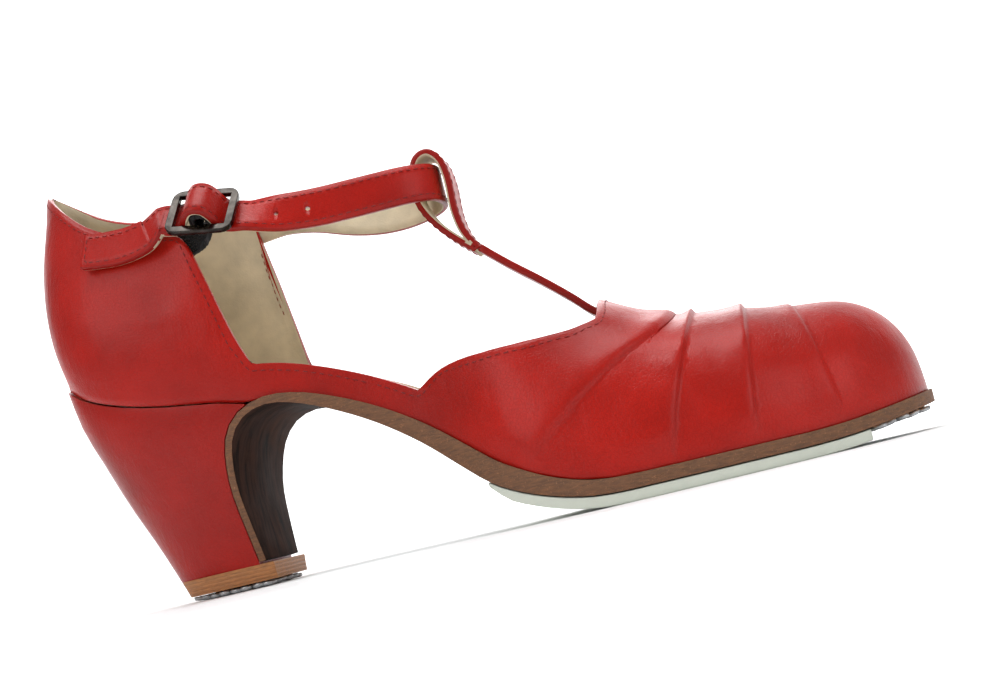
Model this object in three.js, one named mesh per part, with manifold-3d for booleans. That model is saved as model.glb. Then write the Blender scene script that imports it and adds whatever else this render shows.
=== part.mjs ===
// A red leather flamenco shoe for the right foot, standing on its sole.
// Millimetres. +X points to the toe, +Y to the inner side of the foot, +Z up from the floor.

import * as THREE from 'three';
import { mergeVertices } from 'three/addons/utils/BufferGeometryUtils.js';
import Module from 'manifold-3d';

const wasm = await Module();
wasm.setup();

// Driving dimensions
const SHOE_LENGTH = 231;        // back of the heel seat to the toe tip
const BALL_WIDTH = 80;          // across the sole at the ball
const SEAT_WIDTH = 50;          // across the heel seat
const HEEL_HEIGHT = 66;         // floor to the back of the heel seat
const INSTEP_HEIGHT = 62;       // floor to the crest of the vamp behind the ball
const QUARTER_HEIGHT = 57;      // back seam, from the heel seat to the topline
const SIDE_BAND_HEIGHT = 8.5;   // low side between quarter and vamp
const UPPER_WALL = 1.8;         // leather and lining together
const FOLD_RISE = 1.3;          // height of a pleat over the leather round it
const CAP_STEP = 0.8;           // the vamp's edge over the toe cap
const SOLE_LEATHER = 3.3;       // outsole at the forepart
const FLAP_LEATHER = 1.8;       // outsole where it runs down the heel's front
const GROOVE_WIDTH = 1.2;       // stitch channel in the waist
const GROOVE_DEPTH = 0.9;
const HALF_SOLE = 2.8;
const INSOLE = 1.6;
const LIFT = 4.2;               // leather top piece under the heel
const NAIL_HEIGHT = 1.3;
const NAIL_DIAMETER = 4.2;
const HEEL_TIP_WIDTH = 26.5;
const STRAP_WIDTH = 10.5;
const STRAP_LEATHER = 2;
const T_BAR_WIDTH = 11.5;
const T_BAR_LEATHER = 2;
const BUCKLE_LENGTH = 18.5;
const BUCKLE_BAR = 2.1;
const BUCKLE_WIRE = 1.6;
const ELASTIC_WIDTH = 7;
const ELASTIC_THICKNESS = 1.4;
const GAP = 0.3;                // between pieces that lie against each other
const EDGE_MARGIN = 0.9;        // upper set in from the edge of the sole

// Sole edge, at = share of the length, lateral and medial = shares of half the width there
const SEAT_EDGE = [
  { at: 0.011, lateral: 0.38, medial: 0.38 },
  { at: 0.039, lateral: 0.70, medial: 0.68 },
  { at: 0.087, lateral: 0.91, medial: 0.88 },
  { at: 0.152, lateral: 0.99, medial: 0.96 },
  { at: 0.216, lateral: 1.00, medial: 0.95 },
  { at: 0.264, lateral: 0.98, medial: 0.92 },
  { at: 0.325, lateral: 0.96, medial: 0.86 },
];
const FOREPART_EDGE = [
  { at: 0.390, lateral: 0.575, medial: 0.460 },
  { at: 0.433, lateral: 0.590, medial: 0.428 },
  { at: 0.468, lateral: 0.672, medial: 0.425 },
  { at: 0.502, lateral: 0.805, medial: 0.437 },
  { at: 0.535, lateral: 0.935, medial: 0.560 },
  { at: 0.576, lateral: 0.998, medial: 0.755 },
  { at: 0.628, lateral: 1.025, medial: 0.888 },
  { at: 0.671, lateral: 1.018, medial: 0.955 },
  { at: 0.721, lateral: 0.968, medial: 0.980 },
  { at: 0.764, lateral: 0.900, medial: 0.968 },
  { at: 0.805, lateral: 0.825, medial: 0.915 },
  { at: 0.864, lateral: 0.660, medial: 0.852 },
  { at: 0.911, lateral: 0.520, medial: 0.812 },
  { at: 0.946, lateral: 0.355, medial: 0.745 },
  { at: 0.972, lateral: 0.195, medial: 0.650 },
  { at: 0.990, lateral: 0.000, medial: 0.530 },
];
const TOE_TIP = { at: 1, side: 0.265 };
const EDGE_SAMPLES = 900;

// Underside of the outsole from toe to heel, rise = share of the heel height above the half sole,
// leather = thickness as a share of the forepart's
const SOLE_LINE = [
  { at: 1.000, rise: 0.061, leather: 1.00 },
  { at: 0.965, rise: 0.041, leather: 1.00 },
  { at: 0.925, rise: 0.021, leather: 1.00 },
  { at: 0.885, rise: 0.006, leather: 1.00 },
  { at: 0.840, rise: 0.000, leather: 1.00 },
  { at: 0.650, rise: 0.000, leather: 1.05 },
  { at: 0.610, rise: 0.010, leather: 1.15 },
  { at: 0.570, rise: 0.044, leather: 1.35 },
  { at: 0.535, rise: 0.092, leather: 1.60 },
  { at: 0.505, rise: 0.150, leather: 1.70 },
  { at: 0.475, rise: 0.240, leather: 1.65 },
  { at: 0.433, rise: 0.376, leather: 1.45 },
  { at: 0.390, rise: 0.494, leather: 1.25 },
  { at: 0.345, rise: 0.590, leather: 1.05 },
  { at: 0.305, rise: 0.655, leather: 0.85 },
  { at: 0.275, rise: 0.682, leather: 0.65 },
  { at: 0.255, rise: 0.676, leather: 0.56 },
  { at: 0.236, rise: 0.642, leather: 0.55 },
  { at: 0.222, rise: 0.575, leather: 0.55 },
  { at: 0.214, rise: 0.470, leather: 0.55 },
  { at: 0.211, rise: 0.360, leather: 0.55 },
  { at: 0.213, rise: 0.230, leather: 0.55 },
  { at: 0.217, rise: 0.060, leather: 0.55 },
];
const SOLE_LINE_SAMPLES = 84;
const TOE_CROWDING = 1.35;      // rows lie closer together at the toe
// Shares of the length where the waist ends, over which it turns into the flap, and down to
// which its edge and its underside are read
const WAIST_END = 0.30;
const FLAP_TURN = 0.06;
const WAIST_READ = 0.27;
const UNDER_READ = 0.28;
const FLAP_TOP = 0.72;          // share of the heel height up to which the flap follows the heel
const FEATHER_CLEAR = 8;        // heel seam to the first row that follows the waist

// Heel seam behind the waist, rise = share of the heel height
const SEAT_LINE = [
  { at: 0.000, rise: 1.000 },
  { at: 0.018, rise: 0.963 },
  { at: 0.038, rise: 0.918 },
  { at: 0.068, rise: 0.868 },
  { at: 0.108, rise: 0.822 },
  { at: 0.155, rise: 0.784 },
  { at: 0.210, rise: 0.752 },
];

// Heel block from floor to seat: back = share of the length, lateral, medial and centre =
// shares of the seat width
const HEEL_RINGS = [
  { up: 0.00, back: 0.098, lateral: 0.262, medial: 0.268, centre: 0.080 },
  { up: 0.12, back: 0.088, lateral: 0.285, medial: 0.285, centre: 0.072 },
  { up: 0.32, back: 0.070, lateral: 0.345, medial: 0.322, centre: 0.058 },
  { up: 0.52, back: 0.048, lateral: 0.405, medial: 0.368, centre: 0.040 },
  { up: 0.70, back: 0.030, lateral: 0.458, medial: 0.420, centre: 0.020 },
  { up: 0.86, back: 0.012, lateral: 0.490, medial: 0.462, centre: 0.006 },
  { up: 1.00, back: 0.004, lateral: 0.496, medial: 0.470, centre: 0.000 },
];
const HEEL_SQUARENESS = 0.78;

// Crest of the vamp, carried on behind the throat, rise = share of the instep height,
// side = share of half the ball width
const CREST = [
  { at: 0.433, rise: 1.400, side: 0.00 },
  { at: 0.480, rise: 1.300, side: 0.00 },
  { at: 0.528, rise: 1.185, side: 0.01 },
  { at: 0.563, rise: 1.095, side: 0.02 },
  { at: 0.597, rise: 1.010, side: 0.03 },
  { at: 0.628, rise: 0.938, side: 0.035 },
  { at: 0.658, rise: 0.872, side: 0.04 },
  { at: 0.708, rise: 0.772, side: 0.06 },
  { at: 0.743, rise: 0.725, side: 0.08 },
  { at: 0.795, rise: 0.700, side: 0.11 },
  { at: 0.878, rise: 0.645, side: 0.18 },
  { at: 0.940, rise: 0.632, side: 0.23 },
  { at: 1.000, rise: 0.630, side: 0.265 },
];
const TOE_ROUND = 0.895;        // share of the length where the crest starts to round down
const TOE_FULLNESS = 2.3;       // 2 is a quarter of an ellipse seen from the side
const FULLNESS = 0.83;          // exponent of the vamp's sections, 1 is an ellipse

// Ribs of the vamp from the sole edge up to the crest: sweep and turn say how soon
// a rib runs forwards on its way up
const VAMP_RIBS = [
  { name: 'toe tip', lateral: 1.000, medial: 1.000, crest: 1.000, steps: 9, sweep: 1, turn: 1 },
  { name: 'cap seam', lateral: 0.885, medial: 0.905, crest: 0.864, steps: 4, sweep: 1, turn: 1 },
  { name: 'front pleat', lateral: 0.789, medial: 0.818, crest: 0.812, steps: 4, sweep: 1, turn: 1 },
  { name: 'middle pleat', lateral: 0.699, medial: 0.740, crest: 0.757, steps: 4, sweep: 1, turn: 1 },
  { name: 'rear pleat', lateral: 0.547, medial: 0.600, crest: 0.732, steps: 4, sweep: 1, turn: 1.2 },
  { name: 'throat', lateral: 0.436, medial: 0.455, crest: 0.658, steps: 0, sweep: 2, turn: 1.55 },
];
const FOLD_LIP = 0.2;           // of one step between ribs, from a fold's foot to its lip
const FOLD_BACK = 0.35;         // of a fold's rise one step behind it

// Low sides behind the vamp, rise = share of the side band's height
const SIDE_BAND = [
  { lateral: 0.400, medial: 0.416, rise: 0.95 },
  { lateral: 0.358, medial: 0.370, rise: 0.90 },
  { lateral: 0.316, medial: 0.326, rise: 0.90 },
  { lateral: 0.284, medial: 0.294, rise: 0.96 },
];

// Quarter from its front edge to the back seam, all rises and swells = shares of its height
const QUARTER = [
  { lateral: 0.263, medial: 0.276, lateralRise: 0.155, medialRise: 0.155, lean: 0.08, swell: 0.020 },
  { lateral: 0.250, medial: 0.268, lateralRise: 0.285, medialRise: 0.360, lean: 0.08, swell: 0.025 },
  { lateral: 0.235, medial: 0.259, lateralRise: 0.520, medialRise: 0.640, lean: 0.08, swell: 0.028 },
  { lateral: 0.222, medial: 0.252, lateralRise: 0.690, medialRise: 0.900, lean: 0.08, swell: 0.030 },
  { lateral: 0.211, medial: 0.248, lateralRise: 0.818, medialRise: 1.060, lean: 0.08, swell: 0.030 },
  { lateral: 0.184, medial: 0.210, lateralRise: 0.828, medialRise: 1.020, lean: 0.13, swell: 0.031 },
  { lateral: 0.156, medial: 0.170, lateralRise: 0.838, medialRise: 1.015, lean: 0.165, swell: 0.033 },
  { lateral: 0.125, medial: 0.132, lateralRise: 0.850, medialRise: 1.000, lean: 0.19, swell: 0.036 },
  { lateral: 0.094, medial: 0.098, lateralRise: 0.866, medialRise: 0.985, lean: 0.20, swell: 0.042 },
  { lateral: 0.065, medial: 0.067, lateralRise: 0.888, medialRise: 0.970, lean: 0.20, swell: 0.050 },
  { lateral: 0.038, medial: 0.039, lateralRise: 0.915, medialRise: 0.962, lean: 0.17, swell: 0.058 },
  { lateral: 0.015, medial: 0.015, lateralRise: 0.950, medialRise: 0.972, lean: 0.11, swell: 0.062 },
  { lateral: 0.000, medial: 0.000, lateralRise: 1.000, medialRise: 1.000, lean: 0.05, swell: 0.062 },
];
const LOW_ROWS = 6;
const HIGH_ROWS = 9;
const MOST_BAND = 0.6;          // of a rib's climb, up to the level of the side band

// Centre line of the ankle strap: along = share of the length, side = share of half the seat
// width, up = share of the top of the back seam, lie = how far its top leans in (radians)
const ANKLE_STRAP = [
  { along: 0.192, side: 0.756, up: 0.824, lie: 0.39 },
  { along: 0.209, side: 0.764, up: 0.828, lie: 0.37 },
  { along: 0.235, side: 0.786, up: 0.833, lie: 0.28 },
  { along: 0.258, side: 0.806, up: 0.838, lie: 0.16 },
  { along: 0.286, side: 0.815, up: 0.841, lie: 0.00 },
  { along: 0.330, side: 0.800, up: 0.824, lie: -0.20 },
  { along: 0.377, side: 0.745, up: 0.790, lie: -0.32 },
  { along: 0.420, side: 0.645, up: 0.770, lie: -0.36 },
  { along: 0.462, side: 0.480, up: 0.765, lie: -0.28 },
  { along: 0.495, side: 0.270, up: 0.772, lie: -0.06 },
  { along: 0.504, side: 0.000, up: 0.778, lie: 0.10 },
  { along: 0.497, side: -0.280, up: 0.780, lie: 0.14 },
  { along: 0.471, side: -0.490, up: 0.777, lie: 0.12 },
  { along: 0.445, side: -0.600, up: 0.773, lie: 0.08 },
  { along: 0.415, side: -0.680, up: 0.770, lie: 0.06 },
  { along: 0.372, side: -0.765, up: 0.768, lie: 0.08 },
  { along: 0.333, side: -0.850, up: 0.772, lie: 0.20 },
];
// The same strap on through the buckle, in buckle lengths along it and thicknesses off it
const BUCKLE_STRAP = [
  { along: 0.72, off: -1.40 },
  { along: 0.50, off: -1.30 },
  { along: 0.40, off: -1.25 },
  { along: 0.32, off: -1.00 },
  { along: 0.25, off: -0.25 },
  { along: 0.18, off: 1.15 },
  { along: 0.10, off: 2.10 },
  { along: 0.00, off: 2.35 },
  { along: -0.10, off: 2.10 },
  { along: -0.18, off: 1.15 },
  { along: -0.25, off: -0.25 },
  { along: -0.32, off: -1.00 },
  { along: -0.40, off: -1.25 },
  { along: -0.50, off: -1.30 },
  { along: -0.70, off: -1.30 },
];
const STRAP_TAIL = [
  { along: 0.172, side: -0.905, up: 0.800, lie: 0.40 },
  { along: 0.142, side: -0.870, up: 0.792, lie: 0.34 },
  { along: 0.115, side: -0.855, up: 0.795, lie: 0.34 },
  { along: 0.088, side: -0.838, up: 0.803, lie: 0.36 },
];
const BUCKLE_PLACE = { along: 0.245, side: -0.985, up: 0.814 };
const BUCKLE_LEAN = 0.62;
const BUCKLE_PITCH = 0.19;

// T bar seen from the side: loop round the strap and stem down under the throat
const T_LOOP = [
  { along: 0.535, up: 0.610 },
  { along: 0.522, up: 0.655 },
  { along: 0.517, up: 0.710 },
  { along: 0.518, up: 0.775 },
  { along: 0.513, up: 0.828 },
  { along: 0.501, up: 0.850 },
  { along: 0.487, up: 0.842 },
  { along: 0.478, up: 0.805 },
  { along: 0.477, up: 0.755 },
  { along: 0.487, up: 0.705 },
  { along: 0.510, up: 0.650 },
  { along: 0.533, up: 0.610 },
];
const T_STEM = [
  { along: 0.537, up: 0.612 },
  { along: 0.566, up: 0.560 },
  { along: 0.597, up: 0.509 },
  { along: 0.628, up: 0.454 },
  { along: 0.648, up: 0.415 },
  { along: 0.659, up: 0.403 },
  { along: 0.672, up: 0.391 },
  { along: 0.685, up: 0.379 },
];
const T_SIDE = -0.01;           // of half the ball width

const HALF_SOLE_SPAN = { rear: 0.502, front: 0.910 };
const HALF_SOLE_INSET = 0.2;
const HALF_SOLE_BEVEL = 0.7;
const SKIVED_EDGE = 0.45;       // share of its thickness at the half sole's rear edge
const SKIVE_RUN = 9;
const HALF_SOLE_STEPS = 34;
const HEEL_SIDES = 24;
const HEEL_LEVELS = 12;
const BLOCK_FRONT = 0.245;
const LIFT_FRONT = 0.225;
const NAIL_SIDES = 6;           // heads pressed against each other
const NAIL_OVERLAP = 0.12;
const NAIL_MARGIN = 0.25;
const NAIL_TAPER = 0.8;
const NAIL_EASE = 0.01;         // keeps the first row inside the edge
const TOE_SIDES = 40;           // points along each side of the toe's nail field
const INSOLE_STEPS = 44;
const INSOLE_ENDS = { heel: 1.2, toe: 0.6 };
const STRAP_STEPS = 3;
const CENTRE_BAR = 1.8;
const BUCKLE_CORNER = 3;
const CORNER_STEPS = 4;
// Elastic in buckle lengths along, its own widths across and strap thicknesses out
const ELASTIC = [
  { along: -0.115, across: -0.10, out: -1.30, twist: 0.0 },
  { along: -0.125, across: -0.10, out: -0.40, twist: 0.0 },
  { along: -0.100, across: -0.10, out: 0.60, twist: 0.0 },
  { along: 0.000, across: -0.10, out: 0.95, twist: 0.0 },
  { along: 0.100, across: -0.10, out: 0.60, twist: 0.0 },
  { along: 0.125, across: -0.10, out: -0.40, twist: 0.0 },
  { along: 0.100, across: -0.12, out: -1.50, twist: 0.1 },
  { along: -0.020, across: -0.18, out: -3.10, twist: 0.3 },
  { along: -0.220, across: -0.32, out: -4.30, twist: 0.7 },
  { along: -0.450, across: -0.48, out: -4.60, twist: 1.0 },
];
const WALL_LEAN = 0.15;         // of the quarter behind the elastic, in radians
// Centre line of the groove, at = share of the length, side = share of half the ball width
const GROOVE = [
  { at: 0.345, side: -0.36 },
  { at: 0.400, side: -0.43 },
  { at: 0.450, side: -0.52 },
  { at: 0.490, side: -0.64 },
];
const GROOVE_STEPS = 14;
const GROOVE_START = 0.5;       // share of its width at the heel end

const halfBall = BALL_WIDTH / 2;
const halfSeat = SEAT_WIDTH / 2;
const toplineTop = HEEL_HEIGHT + QUARTER_HEIGHT;

const red = new THREE.MeshStandardMaterial({ color: 0xb3140f, roughness: 0.32, metalness: 0 });
const darkRed = new THREE.MeshStandardMaterial({ color: 0x9c1510, roughness: 0.35, metalness: 0 });
const brown = new THREE.MeshStandardMaterial({ color: 0x3a2018, roughness: 0.4, metalness: 0 });
const tan = new THREE.MeshStandardMaterial({ color: 0xa86f40, roughness: 0.6, metalness: 0 });
const cream = new THREE.MeshStandardMaterial({ color: 0xd9ccb0, roughness: 0.7, metalness: 0 });
const white = new THREE.MeshStandardMaterial({ color: 0xe6ebdf, roughness: 0.5, metalness: 0 });
const steel = new THREE.MeshStandardMaterial({ color: 0x9a9c9e, roughness: 0.45, metalness: 0.9 });
const gunmetal = new THREE.MeshStandardMaterial({ color: 0x5b5a56, roughness: 0.25, metalness: 1 });
const black = new THREE.MeshStandardMaterial({ color: 0x141414, roughness: 0.8, metalness: 0 });

// Smooth curve through two columns of a table, level where the values turn
function curveThrough(rows, xColumn, yColumn) {
  const xs = rows.map((row) => row[xColumn]);
  const ys = rows.map((row) => row[yColumn]);
  const last = xs.length - 1;
  const slopes = xs.map(() => 0);
  const secant = (i) => (ys[i + 1] - ys[i]) / (xs[i + 1] - xs[i]);
  slopes[0] = secant(0);
  slopes[last] = secant(last - 1);
  for (let i = 1; i < last; i++) {
    const before = secant(i - 1);
    const after = secant(i);
    slopes[i] = before * after > 0 ? (2 * before * after) / (before + after) : 0;
  }
  return (x) => {
    const inside = Math.min(Math.max(x, Math.min(xs[0], xs[last])), Math.max(xs[0], xs[last]));
    let i = 0;
    while (i < last - 1 && (inside - xs[i + 1]) * (xs[last] - xs[0]) > 0) i++;
    const h = xs[i + 1] - xs[i];
    const t = (inside - xs[i]) / h;
    const rise = ys[i] * (2 * t - 3) * t * t + ys[i] + ys[i + 1] * (3 - 2 * t) * t * t;
    return rise + h * t * (1 - t) * ((1 - t) * slopes[i] - t * slopes[i + 1]);
  };
}

function blend(a, b, t) {
  return a + (b - a) * t;
}

// Sole edge as two lines of points from toe tip to heel back
function edgeLines() {
  const rows = [
    ...SEAT_EDGE.map((row) => ({ ...row, half: halfSeat })),
    ...FOREPART_EDGE.map((row) => ({ ...row, half: halfBall })),
  ];
  const lateral = rows.map((row) => new THREE.Vector3(row.at * SHOE_LENGTH, -row.lateral * row.half, 0));
  const medial = rows.map((row) => new THREE.Vector3(row.at * SHOE_LENGTH, row.medial * row.half, 0));
  const tip = new THREE.Vector3(TOE_TIP.at * SHOE_LENGTH, TOE_TIP.side * halfBall, 0);
  const heel = new THREE.Vector3(0, 0, 0);
  const loop = new THREE.CatmullRomCurve3([tip, ...lateral.reverse(), heel, ...medial], true);
  const points = loop.getPoints(EDGE_SAMPLES).slice(0, EDGE_SAMPLES);
  let heelIndex = 0;
  points.forEach((point, i) => {
    if (point.x < points[heelIndex].x) heelIndex = i;
  });
  return {
    lateral: points.slice(0, heelIndex + 1),
    medial: [points[0], ...points.slice(heelIndex).reverse()],
  };
}
const EDGES = edgeLines();
const SIDES = { lateral: -1, medial: 1 };

// The edge moved inwards, with the share of its run at each point
function insetEdge(side, inset) {
  const line = EDGES[side];
  const moved = line.map((point, i) => {
    const before = line[Math.max(i - 1, 0)];
    const after = line[Math.min(i + 1, line.length - 1)];
    let along = after.clone().sub(before).normalize();
    if (i === 0) along = new THREE.Vector3(0, SIDES[side], 0);
    if (i === line.length - 1) along = new THREE.Vector3(0, -SIDES[side], 0);
    const inward = new THREE.Vector3(-along.y, along.x, 0).multiplyScalar(SIDES[side]);
    return point.clone().addScaledVector(inward, inset);
  });
  const run = [0];
  for (let i = 1; i < moved.length; i++) run.push(run[i - 1] + moved[i].distanceTo(moved[i - 1]));
  return { points: moved, run: run.map((value) => value / run[run.length - 1]) };
}

function pointOnEdge(edge, share) {
  let i = 1;
  while (i < edge.run.length - 1 && edge.run[i] < share) i++;
  const t = (share - edge.run[i - 1]) / (edge.run[i] - edge.run[i - 1]);
  return edge.points[i - 1].clone().lerp(edge.points[i], Math.min(Math.max(t, 0), 1));
}

function shareAtX(edge, x) {
  if (x >= edge.points[0].x) return 0;
  const last = edge.points.length - 1;
  for (let i = 1; i <= last; i++) {
    if (edge.points[i].x <= x) {
      const t = (edge.points[i - 1].x - x) / (edge.points[i - 1].x - edge.points[i].x);
      return blend(edge.run[i - 1], edge.run[i], t);
    }
  }
  return 1;
}

function edgeYAtX(edge, x) {
  return pointOnEdge(edge, shareAtX(edge, x)).y;
}

// Underside and top of the outsole, toe to lift
function soleLine() {
  const rise = HEEL_HEIGHT - HALF_SOLE;
  const under = SOLE_LINE.map((row) => (
    new THREE.Vector3(row.at * SHOE_LENGTH, row.leather, HALF_SOLE + GAP + row.rise * rise)
  ));
  const curve = new THREE.CatmullRomCurve3(under);
  const ground = HALF_SOLE + GAP;
  const line = [];
  for (let i = 0; i <= SOLE_LINE_SAMPLES; i++) {
    const point = curve.getPointAt((i / SOLE_LINE_SAMPLES) ** TOE_CROWDING);
    line.push(point.setZ(Math.max(point.z, ground)));
  }
  return line.map((point, i) => {
    const before = line[Math.max(i - 1, 0)];
    const after = line[Math.min(i + 1, line.length - 1)];
    const run = Math.hypot(after.x - before.x, after.z - before.z);
    const up = { x: (after.z - before.z) / run, z: -(after.x - before.x) / run };
    const thick = Math.max(point.y * SOLE_LEATHER, FLAP_LEATHER);
    return {
      under: { x: point.x, z: point.z },
      over: { x: point.x + up.x * thick, z: point.z + up.z * thick },
      up,
    };
  });
}
const SOLE_ROWS = soleLine();

// Height of the line where the upper meets the sole, or the heel behind the waist
function makeFeather() {
  const waist = SEAT_LINE[SEAT_LINE.length - 1].at * SHOE_LENGTH;
  const front = SOLE_ROWS.filter((row) => row.over.x > waist + FEATHER_CLEAR)
    .filter((row, i, all) => i === 0 || row.over.x < all[i - 1].over.x)
    .map((row) => ({ x: row.over.x, z: row.over.z }));
  const seat = SEAT_LINE.map((row) => ({ x: row.at * SHOE_LENGTH, z: row.rise * HEEL_HEIGHT }));
  const rows = [...seat, ...front.reverse()];
  rows.push({ x: SHOE_LENGTH + halfBall, z: rows[rows.length - 1].z });
  return curveThrough(rows, 'x', 'z');
}
const featherZ = makeFeather();

function geometryFrom(positions, triangles) {
  const geometry = new THREE.BufferGeometry();
  const numbers = positions.flatMap((p) => [p.x, p.y, p.z]);
  geometry.setAttribute('position', new THREE.Float32BufferAttribute(numbers, 3));
  geometry.setIndex(triangles.flat());
  return geometry;
}

function welded(geometry) {
  const plain = new THREE.BufferGeometry();
  plain.setAttribute('position', geometry.getAttribute('position').clone());
  if (geometry.index) plain.setIndex(geometry.index.clone());
  const merged = mergeVertices(plain, 1e-3);
  const kept = [];
  const index = merged.index.array;
  for (let i = 0; i < index.length; i += 3) {
    const [a, b, c] = [index[i], index[i + 1], index[i + 2]];
    if (a !== b && b !== c && a !== c) kept.push(a, b, c);
  }
  merged.setIndex(kept);
  return merged;
}

// Closed skin over rings of points, each ring closed on itself, with strips as end caps
function loft(rings) {
  const count = rings[0].length;
  const positions = rings.flat();
  const triangles = [];
  for (let r = 0; r < rings.length - 1; r++) {
    for (let k = 0; k < count; k++) {
      const a = r * count + k;
      const b = r * count + (k + 1) % count;
      triangles.push([a, b, b + count], [a, b + count, a + count]);
    }
  }
  const cap = (start, flip) => {
    for (let k = 0; k < Math.floor(count / 2) - 1 + (count % 2); k++) {
      const a = start + k;
      const b = start + k + 1;
      const c = start + count - 2 - k;
      const d = start + count - 1 - k;
      const quad = c === b ? [[a, b, d]] : [[a, b, c], [a, c, d]];
      quad.forEach(([p, q, r]) => triangles.push(flip ? [p, r, q] : [p, q, r]));
    }
  };
  cap(0, true);
  cap((rings.length - 1) * count, false);
  return outward(welded(geometryFrom(positions, triangles)));
}

// Faces turned so that the volume is positive
function outward(geometry) {
  const position = geometry.getAttribute('position');
  const index = geometry.index.array;
  const [a, b, c] = [new THREE.Vector3(), new THREE.Vector3(), new THREE.Vector3()];
  let volume = 0;
  for (let i = 0; i < index.length; i += 3) {
    a.fromBufferAttribute(position, index[i]);
    b.fromBufferAttribute(position, index[i + 1]);
    c.fromBufferAttribute(position, index[i + 2]);
    volume += a.dot(b.cross(c));
  }
  if (volume < 0) {
    for (let i = 0; i < index.length; i += 3) {
      [index[i + 1], index[i + 2]] = [index[i + 2], index[i + 1]];
    }
  }
  return geometry;
}

function solid(geometry) {
  const merged = outward(welded(geometry));
  const mesh = new wasm.Mesh({
    numProp: 3,
    vertProperties: new Float32Array(merged.getAttribute('position').array),
    triVerts: new Uint32Array(merged.index.array),
  });
  return new wasm.Manifold(mesh);
}

function geometryOf(manifold) {
  const mesh = manifold.getMesh();
  const geometry = new THREE.BufferGeometry();
  geometry.setAttribute('position', new THREE.Float32BufferAttribute(mesh.vertProperties, 3));
  geometry.setIndex(Array.from(mesh.triVerts));
  return geometry;
}

// Block of constant section across the shoe, from a side view given as x and z
function acrossShoe(points, fromY, toY) {
  const shape = new THREE.Shape(points.map((point) => new THREE.Vector2(point.x, point.z)));
  const geometry = new THREE.ExtrudeGeometry(shape, { depth: toY - fromY, bevelEnabled: false });
  geometry.rotateX(Math.PI / 2);
  geometry.translate(0, toY, 0);
  return geometry;
}

// The upper's outer foot and crest
const UPPER_EDGE = {
  lateral: insetEdge('lateral', EDGE_MARGIN),
  medial: insetEdge('medial', EDGE_MARGIN),
};
const crestRise = curveThrough(CREST, 'at', 'rise');
const crestSide = curveThrough(CREST, 'at', 'side');
const upperTip = UPPER_EDGE.lateral.points[0].x;

function crestPoint(x) {
  const start = TOE_ROUND * SHOE_LENGTH;
  const past = Math.min(Math.max((x - start) / (upperTip - start), 0), 1);
  const low = featherZ(x) + GAP;
  const high = crestRise(x / SHOE_LENGTH) * INSTEP_HEIGHT;
  const z = low + (high - low) * (1 - past ** TOE_FULLNESS) ** (1 / TOE_FULLNESS);
  return new THREE.Vector3(x, crestSide(x / SHOE_LENGTH) * halfBall, z);
}

function footPoint(side, share) {
  const foot = pointOnEdge(UPPER_EDGE[side], share);
  foot.z = featherZ(foot.x) + GAP;
  return foot;
}

// Stations from toe tip to throat, with the raise of the folds on them
function vampStations() {
  const share = (side, at) => shareAtX(UPPER_EDGE[side], at * SHOE_LENGTH);
  const place = (lateral, medial, ahead, rib, raise) => {
    const middle = (footPoint('lateral', lateral).x + footPoint('medial', medial).x) / 2;
    const crest = Math.min(middle + ahead, upperTip);
    return { lateral, medial, crest, raise, sweep: rib.sweep, turn: rib.turn };
  };
  const ribs = VAMP_RIBS.map((rib, k) => {
    const lateral = k === 0 ? 0 : share('lateral', rib.lateral);
    const medial = k === 0 ? 0 : share('medial', rib.medial);
    const middle = (footPoint('lateral', lateral).x + footPoint('medial', medial).x) / 2;
    const ahead = k === 0 ? 0 : rib.crest * SHOE_LENGTH - middle;
    const rise = rib.name === 'cap seam' ? CAP_STEP : FOLD_RISE;
    const folded = rib.name.includes('pleat') || rib.name === 'cap seam';
    return { ...rib, lateral, medial, ahead, rise: folded ? rise : 0 };
  });
  const stations = [];
  ribs.forEach((rib, k) => {
    const next = ribs[k + 1];
    if (rib.rise) {
      const previous = ribs[k - 1];
      const lip = (side) => blend(rib[side], previous[side], FOLD_LIP / previous.steps);
      stations.push(place(lip('lateral'), lip('medial'), rib.ahead, rib, 0));
    }
    stations.push(place(rib.lateral, rib.medial, rib.ahead, rib, rib.rise));
    for (let n = 1; n < rib.steps; n++) {
      const t = n / rib.steps;
      const between = { sweep: blend(rib.sweep, next.sweep, t), turn: blend(rib.turn, next.turn, t) };
      const raise = n === 1 ? rib.rise * FOLD_BACK : 0;
      const feet = [blend(rib.lateral, next.lateral, t), blend(rib.medial, next.medial, t)];
      stations.push(place(feet[0], feet[1], blend(rib.ahead, next.ahead, t), between, raise));
    }
  });
  return stations;
}

// Point on the form of the foot: a section across the shoe at x, from the sole edge to the crest
function formPoint(x, side, angle) {
  const edge = edgeYAtX(UPPER_EDGE[side], x);
  const crest = crestPoint(x);
  const low = featherZ(x) + GAP;
  const y = blend(crest.y, edge, Math.max(Math.cos(angle), 0) ** FULLNESS);
  return new THREE.Vector3(x, y, blend(low, crest.z, Math.sin(angle) ** FULLNESS));
}

function vampPoint(station, side, angle) {
  const foot = footPoint(side, station[side]);
  const forward = Math.sin(Math.min(station.turn * angle, Math.PI / 2)) ** station.sweep;
  return formPoint(blend(foot.x, station.crest, forward), side, angle);
}

// Angle where a rib of the vamp has climbed as far as the low side band
function bandAngle(station, side) {
  const foot = footPoint(side, station[side]);
  const climb = crestPoint(foot.x).z - foot.z;
  const share = Math.min(SIDE_BAND_HEIGHT / Math.max(climb, GAP), MOST_BAND);
  return Math.asin(share ** (1 / FULLNESS));
}

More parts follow.
